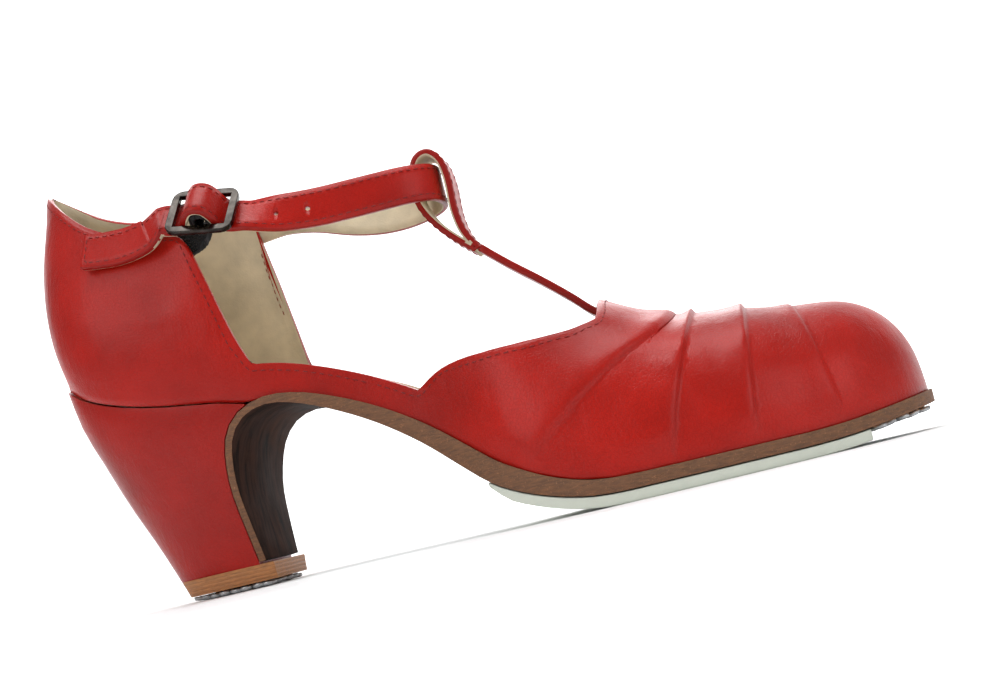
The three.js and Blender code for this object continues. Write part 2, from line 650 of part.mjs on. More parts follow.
function vampRib(station, side) {
  const low = bandAngle(station, side);
  const rib = [];
  for (let j = 0; j <= LOW_ROWS + HIGH_ROWS; j++) {
    const angle = j <= LOW_ROWS
      ? low * (j / LOW_ROWS)
      : blend(low, Math.PI / 2, (j - LOW_ROWS) / HIGH_ROWS);
    rib.push(vampPoint(station, side, angle));
  }
  return rib;
}

function inwardAt(side, share) {
  const step = 0.004;
  const before = pointOnEdge(UPPER_EDGE[side], Math.max(share - step, 0));
  const after = pointOnEdge(UPPER_EDGE[side], Math.min(share + step, 1));
  const along = after.sub(before).normalize();
  if (share > 1 - step) return new THREE.Vector3(1, 0, 0);
  return new THREE.Vector3(-along.y, along.x, 0).multiplyScalar(SIDES[side]);
}

function wallPoint(side, share, height, lean, swell) {
  const foot = footPoint(side, share);
  const level = height / QUARTER_HEIGHT;
  const outwards = swell * Math.sin(Math.PI * Math.min(level, 1) ** 0.75);
  const inwards = lean * level ** 3;
  const point = foot.addScaledVector(inwardAt(side, share), (inwards - outwards) * QUARTER_HEIGHT);
  point.z += height;
  return point;
}

function rearStations() {
  const band = SIDE_BAND.map((row) => ({
    lateral: row.lateral,
    medial: row.medial,
    lateralHeight: row.rise * SIDE_BAND_HEIGHT,
    medialHeight: row.rise * SIDE_BAND_HEIGHT,
    lean: QUARTER[0].lean,
    swell: 0,
  }));
  const quarter = QUARTER.map((row) => ({
    lateral: row.lateral,
    medial: row.medial,
    lateralHeight: row.lateralRise * QUARTER_HEIGHT,
    medialHeight: row.medialRise * QUARTER_HEIGHT,
    lean: row.lean,
    swell: row.swell,
  }));
  return [...band, ...quarter];
}

function rearRib(station, side) {
  const share = station[side] === 0 ? 1 : shareAtX(UPPER_EDGE[side], station[side] * SHOE_LENGTH);
  const top = station[`${side}Height`];
  const rib = [];
  for (let j = 0; j <= LOW_ROWS; j++) {
    rib.push(wallPoint(side, share, (top * j) / LOW_ROWS, station.lean, station.swell));
  }
  return rib;
}

// Open surface between neighbouring ribs, as points with a raise each
function ribSurface() {
  const positions = [];
  const raises = [];
  const triangles = [];
  const addSide = (side) => {
    const vamp = vampStations();
    const ribs = [
      ...vamp.map((station) => ({ points: vampRib(station, side), raise: station.raise })),
      ...rearStations().map((station) => ({ points: rearRib(station, side), raise: 0 })),
    ];
    const starts = ribs.map((rib) => {
      const start = positions.length;
      rib.points.forEach((point, j) => {
        const fade = Math.min(1, (j + 1) / LOW_ROWS);
        positions.push(point);
        raises.push(rib.raise * fade);
      });
      return start;
    });
    for (let i = 0; i < ribs.length - 1; i++) {
      const rows = Math.min(ribs[i].points.length, ribs[i + 1].points.length) - 1;
      for (let j = 0; j < rows; j++) {
        const a = starts[i] + j;
        const b = starts[i + 1] + j;
        const quad = [[a, b, b + 1], [a, b + 1, a + 1]];
        quad.forEach(([p, q, r]) => triangles.push(side === 'lateral' ? [p, r, q] : [p, q, r]));
      }
    }
  };
  addSide('lateral');
  addSide('medial');
  return { positions, raises, triangles };
}

// Wall of even thickness on the surface, with the raised folds on its outer face
function upperShell() {
  const surface = ribSurface();
  const keyOf = (p) => `${Math.round(p.x * 200)},${Math.round(p.y * 200)},${Math.round(p.z * 200)}`;
  const slots = new Map();
  const points = [];
  const raise = [];
  const remap = surface.positions.map((point, i) => {
    const key = keyOf(point);
    if (!slots.has(key)) {
      slots.set(key, points.length);
      points.push(point);
      raise.push(surface.raises[i]);
    }
    return slots.get(key);
  });
  const faces = surface.triangles
    .map((face) => face.map((i) => remap[i]))
    .filter(([a, b, c]) => a !== b && b !== c && a !== c);
  const normals = points.map(() => new THREE.Vector3());
  faces.forEach(([a, b, c]) => {
    const normal = points[b].clone().sub(points[a]).cross(points[c].clone().sub(points[a]));
    [a, b, c].forEach((i) => normals[i].add(normal));
  });
  normals.forEach((normal) => normal.normalize());
  const outer = points.map((point, i) => point.clone().addScaledVector(normals[i], raise[i]));
  const inner = points.map((point, i) => {
    const moved = point.clone().addScaledVector(normals[i], -UPPER_WALL);
    const lowest = featherZ(moved.x) + GAP;
    if (moved.z < lowest) moved.z = lowest;
    return moved;
  });
  const count = points.length;
  const edges = new Map();
  faces.forEach(([a, b, c]) => {
    [[a, b], [b, c], [c, a]].forEach(([p, q]) => {
      const back = `${q}-${p}`;
      if (edges.has(back)) edges.delete(back);
      else edges.set(`${p}-${q}`, [p, q]);
    });
  });
  const triangles = [...faces, ...faces.map(([a, b, c]) => [a + count, c + count, b + count])];
  edges.forEach(([p, q]) => {
    triangles.push([q, p, p + count], [q, p + count, q + count]);
  });
  return outward(geometryFrom([...outer, ...inner], triangles));
}

// Shape of the heel block against its height
const seatFront = SEAT_LINE[SEAT_LINE.length - 1].rise * HEEL_HEIGHT;
const ringColumn = (column) => curveThrough(HEEL_RINGS, 'up', column);
const heelShape = {
  back: ringColumn('back'),
  lateral: ringColumn('lateral'),
  medial: ringColumn('medial'),
  centre: ringColumn('centre'),
};

// Side of the outsole where the waist turns into the flap on the heel's front
function ribbonY(side, edge, point) {
  const x = Math.max(point.x, WAIST_READ * SHOE_LENGTH);
  const waist = edgeYAtX(edge, x);
  const past = WAIST_END * SHOE_LENGTH - point.x;
  if (past < 0) return waist;
  const level = Math.min(point.z, FLAP_TOP * HEEL_HEIGHT);
  const flap = SIDES[side] * heelShape[side](level / seatFront) * SEAT_WIDTH;
  return blend(waist, flap, Math.min(past / (FLAP_TURN * SHOE_LENGTH), 1));
}

// Outsole: a ribbon from the toe, along the waist and down the heel's front, with rows of four
// corners, top and bottom on each side
function outsole() {
  const edges = { lateral: insetEdge('lateral', 0), medial: insetEdge('medial', 0) };
  const liftTop = NAIL_HEIGHT + LIFT + 3 * GAP;
  const corner = (side, point) => new THREE.Vector3(point.x, ribbonY(side, edges[side], point), point.z);
  const rows = SOLE_ROWS.filter((row) => row.under.x > WAIST_END * SHOE_LENGTH
    || Math.min(row.under.z, row.over.z) > liftTop);
  const rings = rows.map((row) => [
    corner('lateral', row.over),
    corner('lateral', row.under),
    corner('medial', row.under),
    corner('medial', row.over),
  ]);
  const whole = solid(loft(rings));
  return geometryOf(whole.subtract(solid(grooveCutter())));
}

// Curved channel in the waist that hides a seam
function grooveCutter() {
  const rings = [];
  const line = new THREE.CatmullRomCurve3(GROOVE.map((row) => {
    const x = row.at * SHOE_LENGTH;
    return new THREE.Vector3(x, row.side * halfBall, underZ(x));
  }));
  for (let i = 0; i <= GROOVE_STEPS; i++) {
    const point = line.getPoint(i / GROOVE_STEPS);
    const along = line.getTangent(i / GROOVE_STEPS);
    const across = new THREE.Vector3(along.y, -along.x, 0).normalize().multiplyScalar(GROOVE_WIDTH / 2);
    const half = i === 0 ? GROOVE_START : 1;
    const top = point.clone().setZ(point.z + GROOVE_DEPTH);
    const bottom = point.clone().setZ(point.z - GROOVE_DEPTH);
    rings.push([
      top.clone().addScaledVector(across, half),
      bottom.clone().addScaledVector(across, half),
      bottom.clone().addScaledVector(across, -half),
      top.clone().addScaledVector(across, -half),
    ]);
  }
  return loft(rings);
}

// Height of the outsole's underside
const UNDER_ROWS = SOLE_ROWS.map((row) => row.under)
  .filter((point, i, all) => point.x > UNDER_READ * SHOE_LENGTH && (i === 0 || point.x < all[i - 1].x));
const underLine = curveThrough(UNDER_ROWS.map((point) => ({ x: -point.x, z: point.z })), 'x', 'z');

function underZ(x) {
  return underLine(-x);
}

function halfSole() {
  const rear = HALF_SOLE_SPAN.rear * SHOE_LENGTH;
  const front = HALF_SOLE_SPAN.front * SHOE_LENGTH;
  const edges = {
    lateral: insetEdge('lateral', HALF_SOLE_INSET),
    medial: insetEdge('medial', HALF_SOLE_INSET),
  };
  const rings = [];
  for (let i = 0; i <= HALF_SOLE_STEPS; i++) {
    const x = blend(rear, front, i / HALF_SOLE_STEPS);
    const skive = Math.min(1, SKIVED_EDGE + (x - rear) / SKIVE_RUN);
    const top = underZ(x) - GAP;
    const bottom = top - HALF_SOLE * skive;
    const lateral = edgeYAtX(edges.lateral, x);
    const medial = edgeYAtX(edges.medial, x);
    rings.push([
      new THREE.Vector3(x, lateral, top),
      new THREE.Vector3(x, lateral + HALF_SOLE_BEVEL, bottom),
      new THREE.Vector3(x, medial - HALF_SOLE_BEVEL, bottom),
      new THREE.Vector3(x, medial, top),
    ]);
  }
  return loft(rings);
}

// One ring round the heel at a share of its height, from one front corner round the back
function heelRing(up, front, heightAt) {
  const back = heelShape.back(up) * SHOE_LENGTH;
  const centre = heelShape.centre(up) * SEAT_WIDTH;
  const lateral = heelShape.lateral(up) * SEAT_WIDTH * tipScale(up);
  const medial = heelShape.medial(up) * SEAT_WIDTH * tipScale(up);
  const ring = [];
  for (let k = 0; k <= HEEL_SIDES; k++) {
    const run = Math.sin((Math.PI * k) / HEEL_SIDES);
    const x = front - (front - back) * run;
    const spread = Math.max(1 - run ** (2 / HEEL_SQUARENESS), 0) ** (HEEL_SQUARENESS / 2);
    const y = k <= HEEL_SIDES / 2
      ? blend(centre, -lateral, spread)
      : blend(centre, medial, spread);
    ring.push(new THREE.Vector3(x, y, heightAt(x)));
  }
  return ring;
}

// The tip's own width, easing to the seat's at the top
function tipScale(up) {
  const tip = (HEEL_RINGS[0].lateral + HEEL_RINGS[0].medial) * SEAT_WIDTH;
  return blend(HEEL_TIP_WIDTH / tip, 1, Math.min(up, 1));
}

const liftBottom = NAIL_HEIGHT + GAP;
const blockBottom = liftBottom + LIFT + GAP;

function heelBlock() {
  const front = BLOCK_FRONT * SHOE_LENGTH;
  const rings = [];
  for (let i = 0; i <= HEEL_LEVELS; i++) {
    const t = i / HEEL_LEVELS;
    const heightAt = (x) => blend(blockBottom, featherZ(x), t);
    const up = blend(blockBottom / seatFront, 1, t);
    rings.push(heelRing(up, front, heightAt));
  }
  const rows = SOLE_ROWS.filter((row) => row.over.x < WAIST_END * SHOE_LENGTH);
  const away = rows.map((row) => ({ x: row.over.x + row.up.x * GAP, z: row.over.z + row.up.z * GAP }));
  const lowest = away[away.length - 1];
  const cutter = acrossShoe([
    ...away,
    { x: lowest.x, z: -HEEL_HEIGHT },
    { x: away[0].x + SHOE_LENGTH, z: -HEEL_HEIGHT },
    { x: away[0].x + SHOE_LENGTH, z: away[0].z },
  ], -SEAT_WIDTH, SEAT_WIDTH);
  return geometryOf(solid(loft(rings)).subtract(solid(cutter)));
}

function heelLift() {
  const front = LIFT_FRONT * SHOE_LENGTH;
  const rings = [liftBottom, liftBottom + LIFT].map((z) => heelRing(z / seatFront, front, () => z));
  return loft(rings);
}

// Nail heads close together, joined where they overlap
function nailHead(x, y, top, slope) {
  const round = NAIL_DIAMETER / Math.sqrt(3);
  const head = new THREE.CylinderGeometry(round, round * NAIL_TAPER, NAIL_HEIGHT, NAIL_SIDES);
  head.rotateX(Math.PI / 2);
  head.rotateZ(Math.PI / 6);
  head.translate(0, 0, -NAIL_HEIGHT / 2);
  head.rotateY(-Math.atan(slope));
  head.translate(x, y, top);
  return solid(head);
}

function joined(solids) {
  return geometryOf(wasm.Manifold.union(solids));
}

function heelNails() {
  const front = LIFT_FRONT * SHOE_LENGTH;
  const ring = heelRing(0, front, () => 0);
  const inside = insideOf(ring, NAIL_MARGIN);
  return joined(nailGrid(ring, inside).map(([x, y]) => nailHead(x, y, liftBottom - GAP, 0)));
}

function toeNails() {
  const start = HALF_SOLE_SPAN.front * SHOE_LENGTH + GAP;
  const ring = [];
  ['lateral', 'medial'].forEach((side) => {
    const edge = insetEdge(side, 0);
    const last = shareAtX(edge, start);
    for (let i = 0; i < TOE_SIDES; i++) {
      const t = side === 'lateral' ? 1 - i / TOE_SIDES : (i + 1) / TOE_SIDES;
      ring.push(pointOnEdge(edge, t * last));
    }
  });
  const inside = insideOf(ring, NAIL_MARGIN);
  return joined(nailGrid(ring, inside).map(([x, y]) => {
    const slope = (underZ(x + 1) - underZ(x - 1)) / 2;
    return nailHead(x, y, underZ(x) - GAP, slope);
  }));
}

// Test for a point further inside an outline than a margin
function insideOf(ring, margin) {
  return (x, y) => {
    let crossings = 0;
    let nearest = Infinity;
    ring.forEach((a, i) => {
      const b = ring[(i + 1) % ring.length];
      if ((a.y > y) !== (b.y > y) && x < a.x + ((y - a.y) * (b.x - a.x)) / (b.y - a.y)) crossings++;
      const length = Math.hypot(b.x - a.x, b.y - a.y);
      const run = (x - a.x) * (b.x - a.x) + (y - a.y) * (b.y - a.y);
      const clamped = Math.min(Math.max(run / (length ** 2 || 1), 0), 1);
      const gapX = x - a.x - clamped * (b.x - a.x);
      const gapY = y - a.y - clamped * (b.y - a.y);
      nearest = Math.min(nearest, Math.hypot(gapX, gapY));
    });
    return crossings % 2 === 1 && nearest >= NAIL_DIAMETER / 2 + margin;
  };
}

function nailGrid(ring, inside) {
  const xs = ring.map((point) => point.x);
  const ys = ring.map((point) => point.y);
  const front = Math.max(...xs);
  const back = Math.min(...xs);
  const places = [];
  const spacing = NAIL_DIAMETER - NAIL_OVERLAP;
  const rowStep = spacing * Math.sin(Math.PI / 3);
  const rows = Math.floor((front - back) / rowStep);
  for (let row = 0; row <= rows; row++) {
    const x = front - NAIL_DIAMETER / 2 - NAIL_MARGIN - NAIL_EASE - row * rowStep;
    const shift = (row % 2) * 0.5 * spacing;
    for (let y = Math.min(...ys) + shift; y < Math.max(...ys); y += spacing) {
      if (inside(x, y)) places.push([x, y]);
    }
  }
  return places;
}

function insole() {
  const inset = EDGE_MARGIN + UPPER_WALL + 2 * GAP;
  const edges = { lateral: insetEdge('lateral', inset), medial: insetEdge('medial', inset) };
  const rings = [];
  const first = edges.lateral.points[edges.lateral.points.length - 1].x + INSOLE_ENDS.heel;
  const last = edges.lateral.points[0].x - INSOLE_ENDS.toe;
  for (let i = 0; i <= INSOLE_STEPS; i++) {
    const t = i / INSOLE_STEPS;
    const x = blend(first, last, (1 - Math.cos(Math.PI * t)) / 2);
    const low = featherZ(x) + GAP;
    const lateral = edgeYAtX(edges.lateral, x);
    const medial = edgeYAtX(edges.medial, x);
    rings.push([
      new THREE.Vector3(x, lateral, low + INSOLE),
      new THREE.Vector3(x, lateral, low),
      new THREE.Vector3(x, medial, low),
      new THREE.Vector3(x, medial, low + INSOLE),
    ]);
  }
  return loft(rings);
}

// Straps: a flat band along a line of centres, each with the direction of its width
function band(centres, ups, width, thickness) {
  const path = new THREE.CatmullRomCurve3(centres);
  const tilt = new THREE.CatmullRomCurve3(ups);
  const steps = (centres.length - 1) * STRAP_STEPS;
  const rings = [];
  for (let i = 0; i <= steps; i++) {
    const centre = path.getPoint(i / steps);
    const along = path.getTangent(i / steps);
    const face = along.clone().cross(tilt.getPoint(i / steps)).normalize();
    const up = face.clone().cross(along).normalize();
    const corner = (u, f) => centre.clone()
      .addScaledVector(up, (u * width) / 2)
      .addScaledVector(face, (f * thickness) / 2);
    rings.push([corner(1, -1), corner(-1, -1), corner(-1, 1), corner(1, 1)]);
  }
  return loft(rings);
}

function strapRow(row) {
  const centre = new THREE.Vector3(row.along * SHOE_LENGTH, row.side * halfSeat, row.up * toplineTop);
  const lean = -Math.sign(row.side || 1) * Math.sin(row.lie);
  const inwards = new THREE.Vector3(0, lean, Math.cos(row.lie));
  return { centre, up: inwards };
}

// Buckle's own directions: along the strap, across it and out from the foot
const buckleAlong = new THREE.Vector3(Math.cos(BUCKLE_PITCH), 0, -Math.sin(BUCKLE_PITCH));
const buckleAcross = new THREE.Vector3(0, Math.sin(BUCKLE_LEAN), Math.cos(BUCKLE_LEAN));
buckleAcross.addScaledVector(buckleAlong, -buckleAcross.dot(buckleAlong)).normalize();
const buckleOut = buckleAlong.clone().cross(buckleAcross).normalize();
const buckleCentre = new THREE.Vector3(
  BUCKLE_PLACE.along * SHOE_LENGTH,
  BUCKLE_PLACE.side * halfSeat,
  BUCKLE_PLACE.up * toplineTop,
);

function fromBuckle(along, across, out) {
  return buckleCentre.clone()
    .addScaledVector(buckleAlong, along)
    .addScaledVector(buckleAcross, across)
    .addScaledVector(buckleOut, out);
}

function ankleStrap() {
  const rows = [
    ...ANKLE_STRAP.map(strapRow),
    ...BUCKLE_STRAP.map((row) => ({
      centre: fromBuckle(row.along * BUCKLE_LENGTH, 0, row.off * STRAP_LEATHER),
      up: buckleAcross.clone(),
    })),
    ...STRAP_TAIL.map(strapRow),
  ];
  return band(rows.map((row) => row.centre), rows.map((row) => row.up), STRAP_WIDTH, STRAP_LEATHER);
}

// Flat frame with rounded corners and two windows, one each side of its centre bar
function buckle() {
  const halfLength = BUCKLE_LENGTH / 2;
  const halfWidth = STRAP_WIDTH / 2 + BUCKLE_BAR + 1.5 * GAP;
  const outline = [];
  [[1, -1], [1, 1], [-1, 1], [-1, -1]].forEach(([alongSide, acrossSide], k) => {
    for (let n = 0; n <= CORNER_STEPS; n++) {
      const angle = ((k - 1 + n / CORNER_STEPS) * Math.PI) / 2;
      outline.push(new THREE.Vector2(
        alongSide * (halfLength - BUCKLE_CORNER) + BUCKLE_CORNER * Math.cos(angle),
        acrossSide * (halfWidth - BUCKLE_CORNER) + BUCKLE_CORNER * Math.sin(angle),
      ));
    }
  });
  const shape = new THREE.Shape(outline);
  const plate = new THREE.ExtrudeGeometry(shape, { depth: BUCKLE_WIRE, bevelEnabled: false });
  plate.translate(0, 0, -BUCKLE_WIRE / 2);
  const windowLength = halfLength - BUCKLE_BAR - CENTRE_BAR / 2;
  let frame = solid(plate);
  [-1, 1].forEach((side) => {
    const cut = new THREE.BoxGeometry(windowLength, 2 * (halfWidth - BUCKLE_BAR), 3 * BUCKLE_WIRE);
    cut.translate((side * (CENTRE_BAR + windowLength)) / 2, 0, 0);
    frame = frame.subtract(solid(cut));
  });
  const geometry = geometryOf(frame);
  const turn = new THREE.Matrix4().makeBasis(buckleAlong, buckleAcross, buckleOut);
  return geometry.applyMatrix4(turn.setPosition(buckleCentre));
}

// Elastic folded round the buckle's centre bar and sewn inside the quarter's front corner
function elasticTab() {
  const wallUp = new THREE.Vector3(0, Math.sin(WALL_LEAN), Math.cos(WALL_LEAN));
  const centre = (row) => (
    fromBuckle(row.along * BUCKLE_LENGTH, row.across * ELASTIC_WIDTH, row.out * STRAP_LEATHER)
  );
  const up = (row) => buckleAcross.clone().lerp(wallUp, row.twist);
  return band(ELASTIC.map(centre), ELASTIC.map(up), ELASTIC_WIDTH, ELASTIC_THICKNESS);
}

// T bar: a band bent in the plane of the foot's middle, its loop closed on the stem
function tBar() {
  const strip = (rows) => solid(band(
    rows.map((row) => new THREE.Vector3(row.along * SHOE_LENGTH, T_SIDE * halfBall, row.up * toplineTop)),
    rows.map(() => new THREE.Vector3(0, 1, 0)),
    T_BAR_WIDTH,
    T_BAR_LEATHER,
  ));
  return geometryOf(strip(T_LOOP).add(strip(T_STEM)));
}

// The shoe, moved so that the middle of its length and width stands at the origin
const group = new THREE.Group();

function addPiece(name, geometry, material) {
  const mesh = new THREE.Mesh(geometry, material);
  mesh.name = name;
  group.add(mesh);
}

addPiece('upper', upperShell(), red);
addPiece('insole', insole(), cream);
addPiece('outsole', outsole(), brown);
addPiece('half_sole', halfSole(), white);
addPiece('heel_block', heelBlock(), darkRed);
addPiece('heel_lift', heelLift(), tan);
addPiece('heel_nails', heelNails(), steel);
addPiece('toe_nails', toeNails(), steel);
addPiece('ankle_strap', ankleStrap(), red);
addPiece('t_bar', tBar(), red);
addPiece('buckle', buckle(), gunmetal);
addPiece('elastic_tab', elasticTab(), black);

const box = new THREE.Box3().setFromObject(group);
const middle = box.getCenter(new THREE.Vector3());
group.position.set(-middle.x, -middle.y, -box.min.z);

export default group;
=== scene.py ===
"""A red T-strap flamenco shoe: its leather, lining, soles, nail heads and buckle."""

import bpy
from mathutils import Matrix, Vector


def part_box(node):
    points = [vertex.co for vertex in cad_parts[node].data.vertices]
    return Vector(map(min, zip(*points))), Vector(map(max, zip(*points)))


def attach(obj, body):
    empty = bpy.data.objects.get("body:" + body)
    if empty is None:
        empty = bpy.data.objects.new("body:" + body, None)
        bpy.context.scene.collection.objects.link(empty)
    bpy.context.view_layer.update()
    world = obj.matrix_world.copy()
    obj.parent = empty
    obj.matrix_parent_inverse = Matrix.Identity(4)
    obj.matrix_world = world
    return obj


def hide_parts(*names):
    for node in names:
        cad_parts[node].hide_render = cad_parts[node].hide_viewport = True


bl_info = {
    "name": "Flamenco Shoe",
    "version": (1, 0, 0),
    "blender": (4, 5, 0),
    "location": "View3D > Sidebar > Shoe",
    "description": "Dresses the solids of a red T-strap flamenco shoe",
    "category": "Add Mesh",
}

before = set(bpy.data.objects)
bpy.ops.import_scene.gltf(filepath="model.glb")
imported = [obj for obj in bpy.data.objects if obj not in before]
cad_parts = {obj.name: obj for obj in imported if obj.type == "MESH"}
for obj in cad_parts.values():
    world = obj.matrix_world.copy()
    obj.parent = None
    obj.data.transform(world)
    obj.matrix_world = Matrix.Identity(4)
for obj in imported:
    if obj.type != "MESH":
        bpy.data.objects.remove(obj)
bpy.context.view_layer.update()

import math
import random

import bmesh
import bpy
import numpy as np
from mathutils import Matrix, Vector
from mathutils.bvhtree import BVHTree
from mathutils.kdtree import KDTree

MM = 0.001
ROOT = "root"
SHOE_LENGTH = 0.231
# Point on the floor below the back of the heel seat, from which places along the shoe are counted
SEAT_BACK = Vector((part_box("outsole")[1].x - SHOE_LENGTH, 0.9 * MM, 0))
PHOTO_SIZE = (1000, 673)


def place(along, side, up):
    """A point in the frame from millimetres along the shoe, towards its inner side and up."""
    return SEAT_BACK + Vector((along, side, up)) * MM


class ShoeSizes(bpy.types.PropertyGroup):
    """Sizes of the stitching, nails and leather grain."""

    stitch_length: bpy.props.FloatProperty(
        name="Stitch length", description="One stitch of the topline", default=1.5 * MM, unit="LENGTH")
    stitch_gap: bpy.props.FloatProperty(
        name="Stitch gap", description="Between two stitches", default=0.75 * MM, unit="LENGTH")
    thread: bpy.props.FloatProperty(
        name="Thread", description="Radius of the sewing thread", default=0.17 * MM, unit="LENGTH")
    nail_head: bpy.props.FloatProperty(
        name="Nail head", description="Width of one nail head", default=4.2 * MM, unit="LENGTH")
    nail_spacing: bpy.props.FloatProperty(
        name="Nail spacing", description="From one nail to the next", default=3.75 * MM, unit="LENGTH")
    hole: bpy.props.FloatProperty(
        name="Strap hole", description="Radius of a hole in the strap", default=0.7 * MM, unit="LENGTH")
    grain: bpy.props.FloatProperty(
        name="Leather grain", description="Size of one cell of the grain", default=0.9 * MM, unit="LENGTH")


class ShoeColours(bpy.types.PropertyGroup):
    """Colours of the finishes."""

    red: bpy.props.FloatVectorProperty(
        name="Red calf", description="Upper, straps and heel cover", subtype="COLOR",
        default=(0.40, 0.0085, 0.0036))
    lining: bpy.props.FloatVectorProperty(
        name="Lining", description="Cream lining leather", subtype="COLOR", default=(0.62, 0.52, 0.36))
    edge: bpy.props.FloatVectorProperty(
        name="Sole edge", description="Cut edge of the leather sole", subtype="COLOR",
        default=(0.17, 0.075, 0.034))
    waist: bpy.props.FloatVectorProperty(
        name="Waist", description="Burnished waist of the sole", subtype="COLOR",
        default=(0.016, 0.0065, 0.0042))
    half_sole: bpy.props.FloatVectorProperty(
        name="Half sole", description="Rubber half sole", subtype="COLOR", default=(0.66, 0.69, 0.60))
    tan: bpy.props.FloatVectorProperty(
        name="Heel lift", description="Stacked leather", subtype="COLOR", default=(0.42, 0.17, 0.055))
    nail: bpy.props.FloatVectorProperty(
        name="Nails", description="Nail heads", subtype="COLOR", default=(0.42, 0.43, 0.44))
    gunmetal: bpy.props.FloatVectorProperty(
        name="Buckle", description="Dark plated buckle", subtype="COLOR", default=(0.034, 0.030, 0.027))
    elastic: bpy.props.FloatVectorProperty(
        name="Elastic", description="Ribbed elastic", subtype="COLOR", default=(0.010, 0.010, 0.011))
    floor: bpy.props.FloatVectorProperty(
        name="Floor", description="Pale studio floor", subtype="COLOR", default=(0.90, 0.91, 0.91))


# The wave texture repeats every 0.314 units at a scale of 1
WAVE_SCALE = 0.314


def sizes():
    return bpy.context.scene.shoe_sizes


def colours():
    return bpy.context.scene.shoe_colours


class Finish:
    """A material's node tree with short ways to add to it."""

    def __init__(self, name, colour, roughness, metallic=0.0, coat=0.0, coat_roughness=0.1):
        self.material = bpy.data.materials.new(name)
        self.material.use_nodes = True
        self.nodes = self.material.node_tree.nodes
        self.links = self.material.node_tree.links
        self.shader = self.nodes["Principled BSDF"]
        self.colour = tuple(colour)
        self.shader.inputs["Base Color"].default_value = (*colour, 1)
        self.shader.inputs["Roughness"].default_value = roughness
        self.shader.inputs["Metallic"].default_value = metallic
        self.shader.inputs["Coat Weight"].default_value = coat
        self.shader.inputs["Coat Roughness"].default_value = coat_roughness
        self.material.diffuse_color = (*colour, 1)
        self.where = self.nodes.new("ShaderNodeTexCoord").outputs["Object"]

    def link(self, a, b):
        self.links.new(a, b)

    def stretched(self, scale, turn=(0, 0, 0)):
        mapping = self.nodes.new("ShaderNodeMapping")
        mapping.inputs["Scale"].default_value = scale
        mapping.inputs["Rotation"].default_value = turn
        self.link(self.where, mapping.inputs["Vector"])
        return mapping.outputs["Vector"]

    def noise(self, size, detail=4, vector=None, roughness=0.55, distortion=0.0):
        """Noise whose blots are about size metres wide."""
        node = self.nodes.new("ShaderNodeTexNoise")
        node.inputs["Scale"].default_value = 1 / size
        node.inputs["Detail"].default_value = detail
        node.inputs["Roughness"].default_value = roughness
        node.inputs["Distortion"].default_value = distortion
        self.link(vector or self.where, node.inputs["Vector"])
        return node.outputs["Fac"]

    def cells(self, size):
        """Irregular cells, as the distance to their borders."""
        node = self.nodes.new("ShaderNodeTexVoronoi")
        node.feature = "DISTANCE_TO_EDGE"
        node.inputs["Scale"].default_value = 1 / size
        self.link(self.where, node.inputs["Vector"])
        return node.outputs["Distance"]

    def bands(self, size, axis="X", distortion=0.0, vector=None):
        """Bands that repeat about every size metres."""
        node = self.nodes.new("ShaderNodeTexWave")
        node.bands_direction = axis
        node.inputs["Scale"].default_value = WAVE_SCALE / size
        node.inputs["Distortion"].default_value = distortion
        self.link(vector or self.where, node.inputs["Vector"])
        return node.outputs["Fac"]

    def between(self, value, low, high, out_low=0.0, out_high=1.0):
        """The value's range from low to high, turned into another range."""
        node = self.nodes.new("ShaderNodeMapRange")
        node.inputs["From Min"].default_value = low
        node.inputs["From Max"].default_value = high
        node.inputs["To Min"].default_value = out_low
        node.inputs["To Max"].default_value = out_high
        self.link(value, node.inputs["Value"])
        return node.outputs["Result"]

    def mixed(self, amount, first, second):
        """One colour over another, by an amount from 0 to 1."""
        node = self.nodes.new("ShaderNodeMix")
        node.data_type = "RGBA"
        self.link(amount, node.inputs[0])
        for socket, value in ((node.inputs[6], first), (node.inputs[7], second)):
            if hasattr(value, "links"):
                self.link(value, socket)
            else:
                socket.default_value = (*value, 1)
        return node.outputs[2]

    def shade(self, factor):
        """The finish's own colour, lighter or darker."""
        return tuple(min(c * factor, 1.0) for c in self.colour)

    def paint(self, colour):
        self.link(colour, self.shader.inputs["Base Color"])

    def gloss(self, value):
        self.link(value, self.shader.inputs["Roughness"])

    def bump(self, heights):
        """Heights are pairs of a value and its depth in metres."""
        normal = None
        for height, depth in heights:
            node = self.nodes.new("ShaderNodeBump")
            node.inputs["Strength"].default_value = 1
            node.inputs["Distance"].default_value = depth
            self.link(height, node.inputs["Height"])
            if normal:
                self.link(normal, node.inputs["Normal"])
            normal = node.outputs["Normal"]
        self.link(normal, self.shader.inputs["Normal"])


def red_calf(name="red calf", darker=1.0):
    """Smooth glazed calf: pebbled pores, soft creases, worn shine."""
    finish = Finish(name, [c * darker for c in colours().red], 0.36, coat=0.12, coat_roughness=0.24)
    finish.shader.inputs["Specular IOR Level"].default_value = 0.2
    cloud = finish.noise(30 * MM, 3)
    pores = finish.cells(sizes().grain)
    tone = finish.mixed(finish.between(cloud, 0.35, 0.68), finish.shade(0.8), finish.shade(1.18))
    finish.paint(finish.mixed(finish.between(pores, 0.0, 0.1, 0.3, 0), tone, finish.shade(0.55)))
    finish.gloss(finish.between(finish.noise(14 * MM, 4), 0.3, 0.7, 0.3, 0.42))
    wrinkle = finish.noise(3.2 * MM, 5, finish.stretched((1.0, 1.0, 0.3), (0.3, 0.7, 0)), 0.55, 0.6)
    finish.bump([
        (finish.between(pores, 0, 0.16), 0.03 * MM),
        (finish.noise(0.35 * MM, 2), 0.025 * MM),
        (finish.between(wrinkle, 0.42, 0.62), 0.05 * MM),
        (finish.noise(16 * MM, 2), 0.7 * MM),
    ])
    return finish.material


